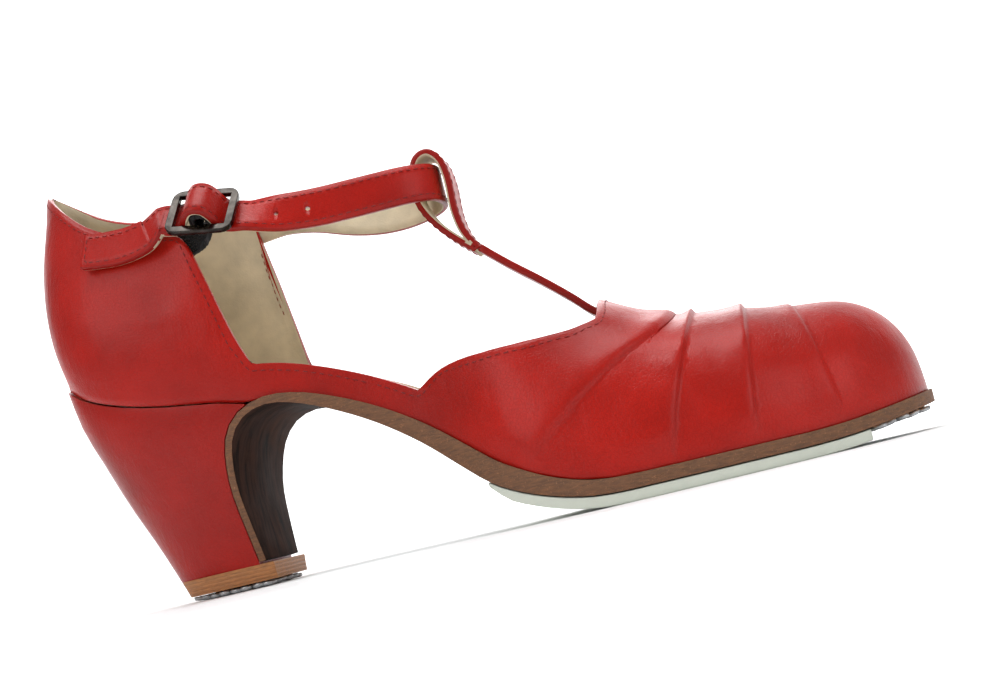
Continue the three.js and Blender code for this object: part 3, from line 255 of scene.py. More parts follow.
def lining_leather(name="lining leather"):
    finish = Finish(name, colours().lining, 0.62)
    blot = finish.noise(11 * MM, 5)
    finish.paint(finish.mixed(finish.between(blot, 0.35, 0.7), finish.shade(0.82), finish.shade(1.15)))
    finish.gloss(finish.between(blot, 0.3, 0.7, 0.55, 0.75))
    finish.bump([
        (finish.cells(0.8 * MM), 0.06 * MM),
        (finish.noise(1.4 * MM, 5), 0.10 * MM),
    ])
    return finish.material


def cut_leather(name, colour):
    """Fibrous cut edge of sole leather, in fine layers."""
    finish = Finish(name, colour, 0.7)
    fibre = finish.noise(1.0 * MM, 6, finish.stretched((0.35, 0.35, 2.2)), 0.7)
    speck = finish.noise(0.5 * MM, 3)
    tone = finish.mixed(finish.between(fibre, 0.3, 0.7), finish.shade(0.55), finish.shade(1.5))
    finish.paint(finish.mixed(finish.between(speck, 0.6, 0.75), tone, finish.shade(2.1)))
    finish.gloss(finish.between(fibre, 0.3, 0.7, 0.55, 0.85))
    finish.bump([(fibre, 0.25 * MM), (speck, 0.12 * MM)])
    return finish.material


def burnished_waist():
    """Dark waist leather, waxed and polished, with faint long grain."""
    finish = Finish("burnished waist", colours().waist, 0.7)
    finish.shader.inputs["Specular IOR Level"].default_value = 0.03
    grain = finish.noise(3.5 * MM, 6, finish.stretched((0.25, 1.0, 0.25)), 0.7, 0.5)
    rub = finish.noise(16 * MM, 4)
    tone = finish.mixed(finish.between(grain, 0.35, 0.68), finish.shade(0.7), finish.shade(3.2))
    finish.paint(finish.mixed(finish.between(rub, 0.55, 0.75, 0, 0.6), tone, (0.075, 0.028, 0.014)))
    finish.gloss(finish.between(rub, 0.3, 0.7, 0.6, 0.75))
    finish.bump([(grain, 0.10 * MM), (finish.noise(0.9 * MM, 3), 0.03 * MM)])
    return finish.material


def sole_rubber():
    finish = Finish("half sole rubber", colours().half_sole, 0.5)
    blot = finish.noise(18 * MM, 4)
    dust = finish.noise(0.8 * MM, 3)
    tone = finish.mixed(finish.between(blot, 0.35, 0.7), finish.shade(0.97), finish.shade(1.03))
    finish.paint(finish.mixed(finish.between(dust, 0.62, 0.8, 0, 0.2), tone, finish.shade(0.82)))
    finish.gloss(finish.between(blot, 0.3, 0.7, 0.42, 0.6))
    finish.bump([
        (finish.bands(1.6 * MM, "X", 0.4), 0.03 * MM),
        (finish.noise(0.6 * MM, 3), 0.03 * MM),
    ])
    return finish.material


def stacked_leather():
    """Heel lift: thin layers of leather, glued and rasped."""
    finish = Finish("stacked leather", colours().tan, 0.6, coat=0.1, coat_roughness=0.4)
    layer = finish.bands(1.05 * MM, "Z", 0.6)
    fibre = finish.noise(1.2 * MM, 6, finish.stretched((0.5, 0.5, 2.5)), 0.7)
    tone = finish.mixed(finish.between(fibre, 0.3, 0.7), finish.shade(0.7), finish.shade(1.35))
    finish.paint(finish.mixed(finish.between(layer, 0.0, 0.22, 0.4, 0), tone, finish.shade(0.45)))
    finish.gloss(finish.between(fibre, 0.3, 0.7, 0.5, 0.75))
    finish.bump([(layer, 0.10 * MM), (fibre, 0.12 * MM)])
    return finish.material


def nail_steel():
    finish = Finish("worn nail heads", colours().nail, 0.42, metallic=0.95)
    dent = finish.noise(1.3 * MM, 3)
    dirt = finish.noise(2.4 * MM, 5)
    worn = finish.between(dirt, 0.5, 0.72, 0, 0.75)
    finish.paint(finish.mixed(worn, finish.shade(1.15), finish.shade(0.3)))
    finish.gloss(finish.between(dent, 0.3, 0.7, 0.3, 0.58))
    scratch = finish.noise(0.5 * MM, 2, finish.stretched((0.12, 1.4, 1)))
    finish.bump([(dent, 0.10 * MM), (scratch, 0.03 * MM)])
    return finish.material


def dark_plating():
    finish = Finish("gunmetal plating", colours().gunmetal, 0.2, metallic=1.0)
    cloud = finish.noise(4 * MM, 4)
    finish.paint(finish.mixed(finish.between(cloud, 0.4, 0.68), finish.shade(0.75), finish.shade(1.9)))
    finish.gloss(finish.between(finish.noise(1.1 * MM, 3), 0.3, 0.7, 0.12, 0.3))
    finish.bump([(finish.noise(0.7 * MM, 2), 0.012 * MM)])
    return finish.material


def ribbed_elastic():
    finish = Finish("ribbed elastic", colours().elastic, 0.85)
    rib = finish.bands(0.62 * MM, "Z", 0.2, finish.stretched((1, 1, 1), (0.6, 0.2, 0)))
    yarn = finish.noise(0.3 * MM, 3)
    # The ribs set both the relief and the colour: painted shade in each trough and a painted highlight on
    # each crest of the near-black elastic.
    finish.paint(finish.mixed(rib, finish.shade(0.4), finish.shade(2.4)))
    finish.gloss(finish.between(yarn, 0.3, 0.7, 0.75, 0.95))
    finish.bump([(rib, 0.25 * MM), (yarn, 0.1 * MM)])
    return finish.material


def sewing_thread():
    finish = Finish("red thread", [c * 0.62 for c in colours().red], 0.6)
    twist = finish.bands(0.24 * MM, "DIAGONAL")
    # The twist sets both the relief and the colour: painted shade in the grooves between the plies and a
    # painted highlight on each ply.
    finish.paint(finish.mixed(twist, finish.shade(0.45), finish.shade(1.2)))
    finish.bump([(twist, 0.05 * MM)])
    return finish.material


WELD = 0.02 * MM
SMOOTH_LEVELS = 2


def cage(node):
    """A node's solid as welded quads."""
    mesh = bmesh.new()
    mesh.from_mesh(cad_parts[node].data)
    bmesh.ops.remove_doubles(mesh, verts=mesh.verts[:], dist=WELD)
    bmesh.ops.join_triangles(
        mesh, faces=mesh.faces[:], angle_face_threshold=math.radians(40), angle_shape_threshold=math.pi)
    bmesh.ops.recalc_face_normals(mesh, faces=mesh.faces[:])
    mesh.faces.ensure_lookup_table()
    return mesh


def spread_from(mesh, seeds, limit):
    """Faces reached from the seeds over edges that bend less than the limit."""
    found = set(seeds)
    queue = list(seeds)
    while queue:
        face = queue.pop()
        for edge in face.edges:
            if len(edge.link_faces) != 2 or edge.calc_face_angle(0) > limit:
                continue
            for other in edge.link_faces:
                if other not in found:
                    found.add(other)
                    queue.append(other)
    return found


def face_hit(mesh, start, direction):
    """The first face that a ray meets."""
    tree = BVHTree.FromBMesh(mesh)
    index = tree.ray_cast(Vector(start), Vector(direction))[2]
    if index is None:
        raise RuntimeError(f"no face of the mesh lies beyond {tuple(start)}")
    return mesh.faces[index]


def crease(mesh, limit, amount, foot=None):
    """Holds sharp edges against smoothing, and the foot of each fold, hollow by foot or more."""
    layer = mesh.edges.layers.float.new("crease_edge")
    for edge in mesh.edges:
        if len(edge.link_faces) != 2:
            continue
        if edge.calc_face_angle(0) > limit:
            edge[layer] = amount
        if foot and edge.calc_face_angle_signed(0) < -foot:
            edge[layer] = 1.0


def to_object(mesh, name, materials):
    data = bpy.data.meshes.new(name)
    mesh.to_mesh(data)
    mesh.free()
    for material in materials:
        data.materials.append(material)
    data.polygons.foreach_set("use_smooth", [True] * len(data.polygons))
    thing = bpy.data.objects.new(name, data)
    bpy.context.scene.collection.objects.link(thing)
    return thing


def settle(thing):
    """Applies the modifiers to the mesh."""
    evaluated = thing.evaluated_get(bpy.context.evaluated_depsgraph_get())
    data = bpy.data.meshes.new_from_object(evaluated)
    thing.modifiers.clear()
    thing.data = data
    data.name = thing.name
    return thing


def subdivide(thing, levels):
    modifier = thing.modifiers.new("Smooth", "SUBSURF")
    modifier.levels = levels
    modifier.render_levels = levels
    return settle(thing)


def bevel(thing, width, segments, angle):
    modifier = thing.modifiers.new("Soft edges", "BEVEL")
    modifier.width = width
    modifier.segments = segments
    modifier.limit_method = "ANGLE"
    modifier.angle_limit = math.radians(angle)
    return settle(thing)


def stand_for(thing, slot, *nodes):
    """A finished piece that takes the place of CAD solids."""
    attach(thing, ROOT)
    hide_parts(*nodes)
    return thing


def add_with(thing):
    """A small piece beside the others."""
    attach(thing, ROOT)
    return thing


def tree_of(thing):
    return BVHTree.FromPolygons(
        [v.co.copy() for v in thing.data.vertices], [list(p.vertices) for p in thing.data.polygons])


def seam_lines(mesh, leather):
    """Lines along the border of the leather, each point with the direction from it into the leather."""
    edges = []
    inward = {}
    for edge in mesh.edges:
        own = [face for face in edge.link_faces if face in leather]
        if len(edge.link_faces) != 2 or len(own) != 1:
            continue
        edges.append(tuple(edge.verts))
        a, b = (v.co for v in edge.verts)
        along = (b - a).normalized()
        across = own[0].calc_center_median() - (a + b) / 2
        across -= along * across.dot(along)
        for vertex in edge.verts:
            inward[vertex] = inward.get(vertex, Vector()) + across.normalized()
    lines = []
    for chain in ordered_loops(edges):
        line = [(v.co.copy(), inward[v].normalized()) for v in chain]
        if any(chain[0] in edge.verts and chain[-1] in edge.verts for edge in chain[0].link_edges):
            line.append(line[0])
        lines.append(line)
    return lines


def ordered_loops(edges):
    """Vertices in chains that follow the edges."""
    links = {}
    for a, b in edges:
        links.setdefault(a, []).append(b)
        links.setdefault(b, []).append(a)
    left = set(links)
    loops = []
    while left:
        ends = [v for v in left if len(links[v]) == 1]
        start = min(ends or left, key=lambda v: v.index)
        chain = [start]
        left.discard(start)
        step = start
        while True:
            onward = [v for v in links[step] if v in left]
            if not onward:
                break
            step = onward[0]
            left.discard(step)
            chain.append(step)
        loops.append(chain)
    return loops


def even_points(points, spacing):
    """Points at even distances along a line."""
    samples = []
    travelled = 0.0
    wanted = 0.0
    for a, b in zip(points, points[1:]):
        length = (b - a).length
        while length > 0 and wanted <= travelled + length:
            samples.append(a.lerp(b, (wanted - travelled) / length))
            wanted += spacing
        travelled += length
    return samples


# How far a thread's middle lies above the leather, as a share of its radius
THREAD_RISE = 0.15


def stitch_row(name, lines, surface, material, inset):
    """Short threads lying in the surface, set in from each line by the inset."""
    made = bmesh.new()
    length, radius = sizes().stitch_length, sizes().thread
    for line in lines:
        path = [surface.find_nearest(point + inward * inset)[0] for point, inward in line]
        points = even_points(path, length + sizes().stitch_gap)
        for start, end in zip(points, points[1:]):
            along = (end - start).normalized()
            here, normal, _, _ = surface.find_nearest((start + end) / 2)
            across = normal.cross(along).normalized()
            along = across.cross(normal)
            turn = Matrix((along, across, normal)).transposed().to_4x4()
            turn.translation = here + normal * radius * THREAD_RISE
            shape = turn @ Matrix.Diagonal((length / 2, radius, radius, 1))
            bmesh.ops.create_uvsphere(made, u_segments=8, v_segments=6, radius=1, matrix=shape)
    return to_object(made, name, [material])


def polyline_distance(points, line):
    """Distance of each point to a polyline, and how far along it the nearest place is, from 0 to 1."""
    nearest = np.full(len(points), 1e9)
    along = np.zeros(len(points))
    lengths = [(line[i + 1] - line[i]).length for i in range(len(line) - 1)]
    total = sum(lengths)
    start = 0.0
    for i, length in enumerate(lengths):
        a = np.array(line[i])
        step = np.array(line[i + 1]) - a
        t = np.clip(((points - a) @ step) / max(step @ step, 1e-12), 0, 1)
        gap = np.linalg.norm(points - a - t[:, None] * step, axis=1)
        closer = gap < nearest
        nearest[closer] = gap[closer]
        along[closer] = (start + t[closer] * length) / total
        start += length
    return nearest, along


# Creases worn into the upper, seen from the side: millimetres along the shoe and up, on the outer
# (-1) or inner (1) side, with the depth of a trough or, below zero, the height of a ridge
CREASES = [
    {"side": -1, "line": [(10, 95), (24, 90), (40, 89), (52, 92)], "depth": -0.45, "width": 4.5},
    {"side": -1, "line": [(8, 87), (22, 82), (40, 80), (54, 82)], "depth": 0.35, "width": 3.5},
    {"side": -1, "line": [(24, 79), (38, 76), (52, 76)], "depth": -0.30, "width": 2.5},
    {"side": -1, "line": [(112, 44), (120, 41), (129, 34)], "depth": 0.22, "width": 1.3},
    {"side": -1, "line": [(113, 39), (121, 36), (127, 30)], "depth": 0.22, "width": 1.2},
    {"side": -1, "line": [(118, 47), (127, 43), (134, 37)], "depth": 0.20, "width": 1.2},
    {"side": -1, "line": [(122, 50), (131, 46), (138, 41)], "depth": 0.20, "width": 1.1},
    {"side": -1, "line": [(111, 33), (118, 30), (123, 25)], "depth": 0.18, "width": 1.2},
    {"side": -1, "line": [(145, 30), (149, 24), (151, 17)], "depth": 0.20, "width": 1.5},
    {"side": -1, "line": [(151, 33), (155, 25), (157, 16)], "depth": -0.22, "width": 1.8},
    {"side": -1, "line": [(168, 33), (171, 24), (172, 15)], "depth": 0.16, "width": 1.5},
    {"side": 1, "line": [(10, 95), (28, 90), (52, 92)], "depth": -0.40, "width": 4.5},
    {"side": 1, "line": [(112, 40), (122, 38), (132, 32)], "depth": 0.20, "width": 1.4},
    {"side": 1, "line": [(118, 46), (128, 43), (138, 36)], "depth": 0.20, "width": 1.3},
    {"side": 1, "line": [(152, 30), (158, 24), (160, 16)], "depth": 0.20, "width": 1.6},
]


def skin_arrays(thing):
    """Places and normals of a mesh's vertices."""
    vertices = thing.data.vertices
    arrays = []
    for name in ("co", "normal"):
        values = np.empty(len(vertices) * 3)
        vertices.foreach_get(name, values)
        arrays.append(values.reshape(-1, 3))
    return arrays


def press_out(thing, points):
    """Puts a mesh's vertices in new places."""
    thing.data.vertices.foreach_set("co", points.ravel())
    thing.data.update()


def worn_in(thing):
    """Soft troughs and ridges pressed into the outer skin."""
    surface = tree_of(thing)
    data = thing.data
    points, normals = skin_arrays(thing)
    count = len(points)
    outside = np.zeros(count, bool)
    for polygon in data.polygons:
        if polygon.material_index == 0:
            outside[list(polygon.vertices)] = True
    shift = np.zeros(count)
    for fold in CREASES:
        line = []
        for along, up in fold["line"]:
            start = place(along, fold["side"] * 90, up)
            hit = surface.ray_cast(start, Vector((0, -fold["side"], 0)))[0]
            if hit is not None:
                line.append(hit)
        if len(line) < 2:
            continue
        distance, along = polyline_distance(points, line)
        fade = np.sin(np.clip(along, 0.02, 0.98) * math.pi) ** 0.6
        reach = distance / (fold["width"] * MM)
        shift -= fold["depth"] * MM * fade * np.exp(-reach ** 2)
    press_out(thing, points + normals * (shift * outside)[:, None])


# Millimetres along the shoe to the front of the heel seam
HEEL_SEAM = 58
FOOT_DROP = 0.5 * MM
TOPLINE_INSET = 2.0 * MM


class SHOE_OT_upper(bpy.types.Operator):
    """Upper of pleated calf with its cream lining and topline stitching"""

    bl_idname = "shoe.upper"
    bl_label = "Upper"

    def execute(self, context):
        mesh = cage("upper")
        inside = place(185, 2, 20)
        seed = face_hit(mesh, inside, (0, 0, 1))
        inner = spread_from(mesh, [seed], math.radians(48))
        rim = {f for f in mesh.faces if f not in inner and any(
            other in inner for edge in f.edges for other in edge.link_faces)}
        for face in mesh.faces:
            face.material_index = 1 if face in inner else 0
        skin = set(mesh.faces) - inner - rim
        lines = seam_lines(mesh, skin)
        lines.sort(key=lambda line: max(point.z for point, inward in line))
        self.meet_sole(mesh, lines[0])
        crease(mesh, math.radians(62), 0.55, foot=math.radians(16))
        thing = to_object(mesh, "upper_leather", [red_calf(), lining_leather()])
        subdivide(thing, SMOOTH_LEVELS)
        worn_in(thing)
        stand_for(thing, "upper", "upper")
        surface = tree_of(thing)
        stitches = stitch_row(
            "topline_stitches", lines[-1:], surface, sewing_thread(), TOPLINE_INSET)
        add_with(stitches)
        return {"FINISHED"}

    def meet_sole(self, mesh, line):
        """Lets the foot of the upper down onto the sole in front of the heel seam."""
        waist = place(HEEL_SEAM, 0, 0).x
        foot = {tuple(round(c, 6) for c in point) for point, inward in line}
        for vertex in mesh.verts:
            if vertex.co.x > waist and tuple(round(c, 6) for c in vertex.co) in foot:
                vertex.co.z -= FOOT_DROP


class SHOE_OT_insole(bpy.types.Operator):
    """Insole covered with lining leather"""

    bl_idname = "shoe.insole"
    bl_label = "Insole"

    def execute(self, context):
        mesh = cage("insole")
        crease(mesh, math.radians(50), 0.7)
        thing = to_object(mesh, "insole_leather", [lining_leather("insole leather")])
        subdivide(thing, SMOOTH_LEVELS)
        stand_for(thing, "insole", "insole")
        return {"FINISHED"}


# The lift's top is raised to meet the heel cover
LIFT_RISE = 0.35 * MM


class SHOE_OT_heel(bpy.types.Operator):
    """Heel block covered in calf, and its stacked leather lift"""

    bl_idname = "shoe.heel"
    bl_label = "Heel"

    def execute(self, context):
        block = cage("heel_block")
        # The heel cover's calf is painted 15 % darker than the upper's calf: painted shade, not a darker
        # leather.
        thing = to_object(block, "heel_cover", [red_calf("heel calf in painted shade", 0.85)])
        bevel(thing, 0.5 * MM, 3, 35)
        stand_for(thing, "heel_cover", "heel_block")
        lift = cage("heel_lift")
        middle = sum(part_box("heel_lift"), Vector()).z / 2
        for vertex in lift.verts:
            if vertex.co.z > middle:
                vertex.co.z += LIFT_RISE
        thing = to_object(lift, "heel_lift_leather", [stacked_leather()])
        bevel(thing, 0.35 * MM, 3, 35)
        stand_for(thing, "heel_lift", "heel_lift")
        return {"FINISHED"}


# A face whose normal's upward share is less than this belongs to the underside
FACING_DOWN = -0.6


class SHOE_OT_soles(bpy.types.Operator):
    """Leather outsole with a burnished waist, and the rubber half sole"""

    bl_idname = "shoe.soles"
    bl_label = "Soles"

    def execute(self, context):
        mesh = cage("outsole")
        seed = face_hit(mesh, place(90, 0, 0), (0, 0, 1))
        under = spread_from(mesh, [seed], math.radians(40))
        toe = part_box("half_sole")[1].x
        everything = mesh.verts[:] + mesh.edges[:] + mesh.faces[:]
        bmesh.ops.bisect_plane(mesh, geom=everything, plane_co=(toe, 0, 0), plane_no=(1, 0, 0))
        under = {face for face in under if face.is_valid}
        under |= {face for face in mesh.faces if face.normal.z < FACING_DOWN}
        for face in mesh.faces:
            if face not in under:
                face.material_index = 1
            elif face.calc_center_median().x > toe:
                face.material_index = 2
            else:
                face.material_index = 0
        thing = to_object(mesh, "outsole_leather", [
            burnished_waist(), cut_leather("sole edge", colours().edge),
            cut_leather("raw toe leather", colours().tan)])
        bevel(thing, 0.3 * MM, 2, 40)
        stand_for(thing, "outsole", "outsole")
        mesh = cage("half_sole")
        thing = to_object(mesh, "half_sole_rubber", [sole_rubber()])
        bevel(thing, 0.35 * MM, 3, 40)
        stand_for(thing, "half_sole", "half_sole")
        return {"FINISHED"}


def broad_side(mesh, seed):
    """Faces of one broad side of a flat strap, followed over the edges that cross it."""
    crossing = max(edge.calc_length() for edge in seed.edges) * 0.75
    square = (math.radians(84), math.radians(96))

    def is_end(face):
        return all(square[0] < edge.calc_face_angle(0) < square[1] for edge in face.edges)

    found = {seed}
    queue = [seed]
    while queue:
        for edge in queue.pop().edges:
            if edge.calc_length() < crossing:
                continue
            for other in edge.link_faces:
                if other not in found and not is_end(other):
                    found.add(other)
                    queue.append(other)
    return found


def strap_piece(node, name, outer_seed, seed_direction, lining, sides):
    """A strap of two leathers: red skin outside, lining inside, both seen on the cut edges."""
    mesh = cage(node)
    outer = sides(mesh, face_hit(mesh, outer_seed, seed_direction))
    start, direction = Vector(outer_seed), Vector(seed_direction)
    tree = BVHTree.FromBMesh(mesh)
    first = tree.ray_cast(start, direction)[0]
    second = tree.ray_cast(first + direction * 0.1 * MM, direction)
    inner = sides(mesh, mesh.faces[second[2]])
    for face in mesh.faces:
        face.material_index = 0 if face in outer else 1 if face in inner else 2
    lines = seam_lines(mesh, outer)
    crease(mesh, math.radians(50), 0.62)
    thing = to_object(mesh, name, [red_calf(name + " skin"), lining, red_calf(name + " edge", 0.7)])
    subdivide(thing, SMOOTH_LEVELS)
    return thing, lines


# The lining shows on a cut edge where it is this much nearer than the skin
LINING_SHARE = 0.8


def two_tone_edges(thing, lining_index):
    """On the cut edges the inner part shows the lining."""
    data = thing.data
    centres = {0: [], 1: []}
    for polygon in data.polygons:
        if polygon.material_index in centres:
            centres[polygon.material_index].append(polygon.center.copy())
    trees = {}
    for index, points in centres.items():
        trees[index] = KDTree(len(points))
        for i, point in enumerate(points):
            trees[index].insert(point, i)
        trees[index].balance()
    for polygon in data.polygons:
        if polygon.material_index == 2:
            to_skin = trees[0].find(polygon.center)[2]
            to_lining = trees[1].find(polygon.center)[2]
            if to_lining < to_skin * LINING_SHARE:
                polygon.material_index = lining_index


# Holes of the ankle strap, millimetres along the shoe on its outer side, and the heights between
# which the strap is looked for there
STRAP_HOLES = [75.5, 83.7]
STRAP_HEIGHTS = (84, 108)
STRAP_INSET = 1.5 * MM
LEAST_SEAM = 20 * MM


class SHOE_OT_straps(bpy.types.Operator):
    """Ankle strap with stitched edges and punched holes, and the T bar"""

    bl_idname = "shoe.straps"
    bl_label = "Straps"

    def execute(self, context):
        lining = lining_leather("strap lining")
        thread = sewing_thread()
        low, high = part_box("ankle_strap")
        seed = Vector((place(86, 0, 0).x, low.y - 20 * MM, place(0, 0, 94.5).z))
        thing, lines = strap_piece(
            "ankle_strap", "ankle_strap_leather", seed, (0, 1, 0), lining, broad_side)
        self.punch(thing)
        two_tone_edges(thing, 1)
        stand_for(thing, "strap", "ankle_strap")
        self.sew(thing, lines, thread, "ankle_strap_stitches")
        low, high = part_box("t_bar")
        seed = Vector((high.x + 20 * MM, (low.y + high.y) / 2, place(0, 0, 88).z))
        thing, lines = strap_piece(
            "t_bar", "t_bar_leather", seed, (-1, 0, 0), lining,
            lambda mesh, face: spread_from(mesh, [face], math.radians(70)))
        two_tone_edges(thing, 1)
        stand_for(thing, "strap", "t_bar")
        self.sew(thing, lines, thread, "t_bar_stitches")
        return {"FINISHED"}

    def punch(self, thing):
        """Round holes through the strap, on its outer side."""
        surface = tree_of(thing)
        for k, along in enumerate(STRAP_HOLES):
            x = place(along, 0, 0).x
            hits = []
            for up in np.arange(*STRAP_HEIGHTS, 0.5):
                hit, normal, _, _ = surface.ray_cast(Vector((x, -0.1, up * MM)), Vector((0, 1, 0)))
                if hit is not None and hit.y < 0:
                    hits.append((hit, normal))
            hit, normal = hits[len(hits) // 2]
            cutter = bmesh.new()
            turn = normal.to_track_quat("Z", "Y").to_matrix().to_4x4()
            turn.translation = hit
            bmesh.ops.create_cone(
                cutter, cap_ends=True, segments=20, radius1=sizes().hole, radius2=sizes().hole,
                depth=12 * MM, matrix=turn)
            tool = to_object(cutter, f"punch_{k}", [])
            modifier = thing.modifiers.new("Hole", "BOOLEAN")
            modifier.operation = "DIFFERENCE"
            modifier.solver = "EXACT"
            modifier.object = tool
            settle(thing)
            bpy.data.objects.remove(tool)

    def sew(self, thing, lines, thread, name):
        """Stitches inside every long border of the skin."""
        long_lines = []
        for line in lines:
            if sum((b[0] - a[0]).length for a, b in zip(line, line[1:])) > LEAST_SEAM:
                long_lines.append(line)
        add_with(stitch_row(name, long_lines, tree_of(thing), thread, STRAP_INSET))


class SHOE_OT_buckle(bpy.types.Operator):
    """Dark metal buckle with rounded bars, and the elastic that holds it"""

    bl_idname = "shoe.buckle"
    bl_label = "Buckle"

    def execute(self, context):
        mesh = cage("buckle")
        bmesh.ops.dissolve_limit(
            mesh, angle_limit=math.radians(2), verts=mesh.verts[:], edges=mesh.edges[:])
        thing = to_object(mesh, "buckle_frame", [dark_plating()])
        bevel(thing, 0.62 * MM, 5, 40)
        stand_for(thing, "buckle", "buckle")
        mesh = cage("elastic_tab")
        crease(mesh, math.radians(50), 0.6)
        thing = to_object(mesh, "elastic_ribbon", [ribbed_elastic()])
        subdivide(thing, 4)
        self.rib(thing)
        stand_for(thing, "elastic", "elastic_tab")
        return {"FINISHED"}

    def rib(self, thing):
        """Cords along the elastic, and gathers across it."""
        points, normals = skin_arrays(thing)
        across = points @ np.array((0.11, 0.58, 0.81))
        along = points @ np.array((0.98, 0.0, -0.19))
        cord_width, cord_height = 0.95 * MM, 0.10 * MM
        gather_width, gather_height = 1.3 * MM, 0.08 * MM
        cord = np.sin(across / cord_width * 2 * math.pi)
        gather = np.sin(along / gather_width * 2 * math.pi + 3 * cord)
        relief = cord_height * cord + gather_height * gather
        press_out(thing, points + normals * relief[:, None])


def outline_of(node, level):
    """Outline of a node's vertices below a level, seen from above, as points in order."""
    corners = [v.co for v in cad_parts[node].data.vertices if v.co.z < level]
    points = sorted({(round(co.x, 6), round(co.y, 6)) for co in corners})

    def half(ordered):
        chain = []
        for p in ordered:
            while len(chain) > 1 and (
                (chain[-1][0] - chain[-2][0]) * (p[1] - chain[-2][1])
                - (chain[-1][1] - chain[-2][1]) * (p[0] - chain[-2][0]) <= 0
            ):
                chain.pop()
            chain.append(p)
        return chain[:-1]

    return [Vector(p) for p in half(points) + half(points[::-1])]


def depth_inside(outline, x, y):
    """How deep a point lies inside an outline that turns to the left."""
    depth = 1e9
    for a, b in zip(outline, outline[1:] + outline[:1]):
        side = (b - a).normalized()
        depth = min(depth, side.x * (y - a.y) - side.y * (x - a.x))
    return depth


# Heads keep this far inside the toe's edge and the lift's edge
TOE_MARGIN = 0.15 * MM
LIFT_MARGIN = 0.25 * MM
# Small seeded shifts of a head: along and across its row, up and down, and its tilt
ALONG_SHIFT = 0.4 * MM
ACROSS_SHIFT = 0.25 * MM
HEIGHT_SHIFT = 0.1 * MM
TILT = 5
HEAD_THICKNESS = 1.15 * MM
ROW_SHARE = 0.87
ROW_START = 0.2 * MM
NAIL_SEED = 37
# A head's rim from the worn middle to the back, as shares of its radius and thickness
HEAD_PROFILE = [(0.0, -0.50), (0.55, -0.50), (0.86, -0.40), (0.98, -0.18), (1.0, 0.05), (0.97, 0.45)]
HEAD_SIDES = 16


class SHOE_OT_nails(bpy.types.Operator):
    """Nail heads hammered in close rows at toe and heel"""

    bl_idname = "shoe.nails"
    bl_label = "Nails"

    def execute(self, context):
        steel = nail_steel()
        chance = random.Random(NAIL_SEED)
        toe = outline_of("outsole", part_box("half_sole")[1].z)
        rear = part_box("half_sole")[1].x
        thing = self.field("toe_nails", toe, rear, TOE_MARGIN, steel, chance)
        stand_for(thing, "nails", "toe_nails")
        lift = outline_of("heel_lift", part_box("heel_lift")[1].z)
        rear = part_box("heel_lift")[0].x
        thing = self.field("heel_nails", lift, rear, LIFT_MARGIN, steel, chance)
        stand_for(thing, "nails", "heel_nails")
        return {"FINISHED"}

    def field(self, node, outline, rear, margin, steel, chance):
        """Rows across the outline, each filled from edge to edge."""
        low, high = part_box(node)
        points = np.array([v.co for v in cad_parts[node].data.vertices])
        slope, base = np.polyfit(points[:, 0], points[:, 2], 1)
        radius = sizes().nail_head / 2
        clear = radius + margin
        front = max(p.x for p in outline)
        made = bmesh.new()
        steps = np.linspace(low.y - radius, high.y + radius, 200)
        x = rear + radius + ROW_START
        while x < front:
            inside = [y for y in steps if depth_inside(outline, x, y) > clear]
            if inside:
                for y in self.row(inside[0], inside[-1]):
                    x_shift = chance.uniform(-ALONG_SHIFT, ALONG_SHIFT)
                    spot = Vector((x + x_shift, y + chance.uniform(-ACROSS_SHIFT, ACROSS_SHIFT)))
                    level = min(slope * spot.x + base, high.z)
                    tilt = Matrix.Rotation(math.radians(chance.uniform(-TILT, TILT)), 4, "X")
                    lean = -math.atan(slope) + math.radians(chance.uniform(-TILT, TILT))
                    tilt @= Matrix.Rotation(lean, 4, "Y")
                    lift = chance.uniform(-HEIGHT_SHIFT, HEIGHT_SHIFT)
                    put = Matrix.Translation((spot.x, spot.y, level + lift)) @ tilt
                    self.head(made, put, radius * chance.uniform(0.94, 1.03))
            x += sizes().nail_spacing * ROW_SHARE
        lowest = min(v.co.z for v in made.verts)
        bmesh.ops.translate(made, verts=made.verts[:], vec=(0, 0, max(low.z - lowest, 0)))
        return to_object(made, node + "_heads", [steel])

    def row(self, first, last):
        """Even places from the first to the last, or one in the middle."""
        count = int((last - first) / sizes().nail_spacing) + 1
        if count == 1:
            return [(first + last) / 2]
        return [first + k * (last - first) / (count - 1) for k in range(count)]

    def head(self, made, matrix, radius):
        """A flat head with a rounded rim, worn side down."""
        rings = []
        for share, height in HEAD_PROFILE:
            ring = []
            for k in range(1 if share == 0 else HEAD_SIDES):
                turn = 2 * math.pi * k / HEAD_SIDES
                reach = radius * share
                point = Vector((reach * math.cos(turn), reach * math.sin(turn), HEAD_THICKNESS * height))
                ring.append(made.verts.new(matrix @ point))
            rings.append(ring)
        for k in range(HEAD_SIDES):
            made.faces.new((rings[0][0], rings[1][(k + 1) % HEAD_SIDES], rings[1][k]))
        for a, b in zip(rings[1:], rings[2:]):
            for k in range(HEAD_SIDES):
                n = (k + 1) % HEAD_SIDES
                made.faces.new((a[k], a[n], b[n], b[k]))
        made.faces.new(list(rings[-1]))


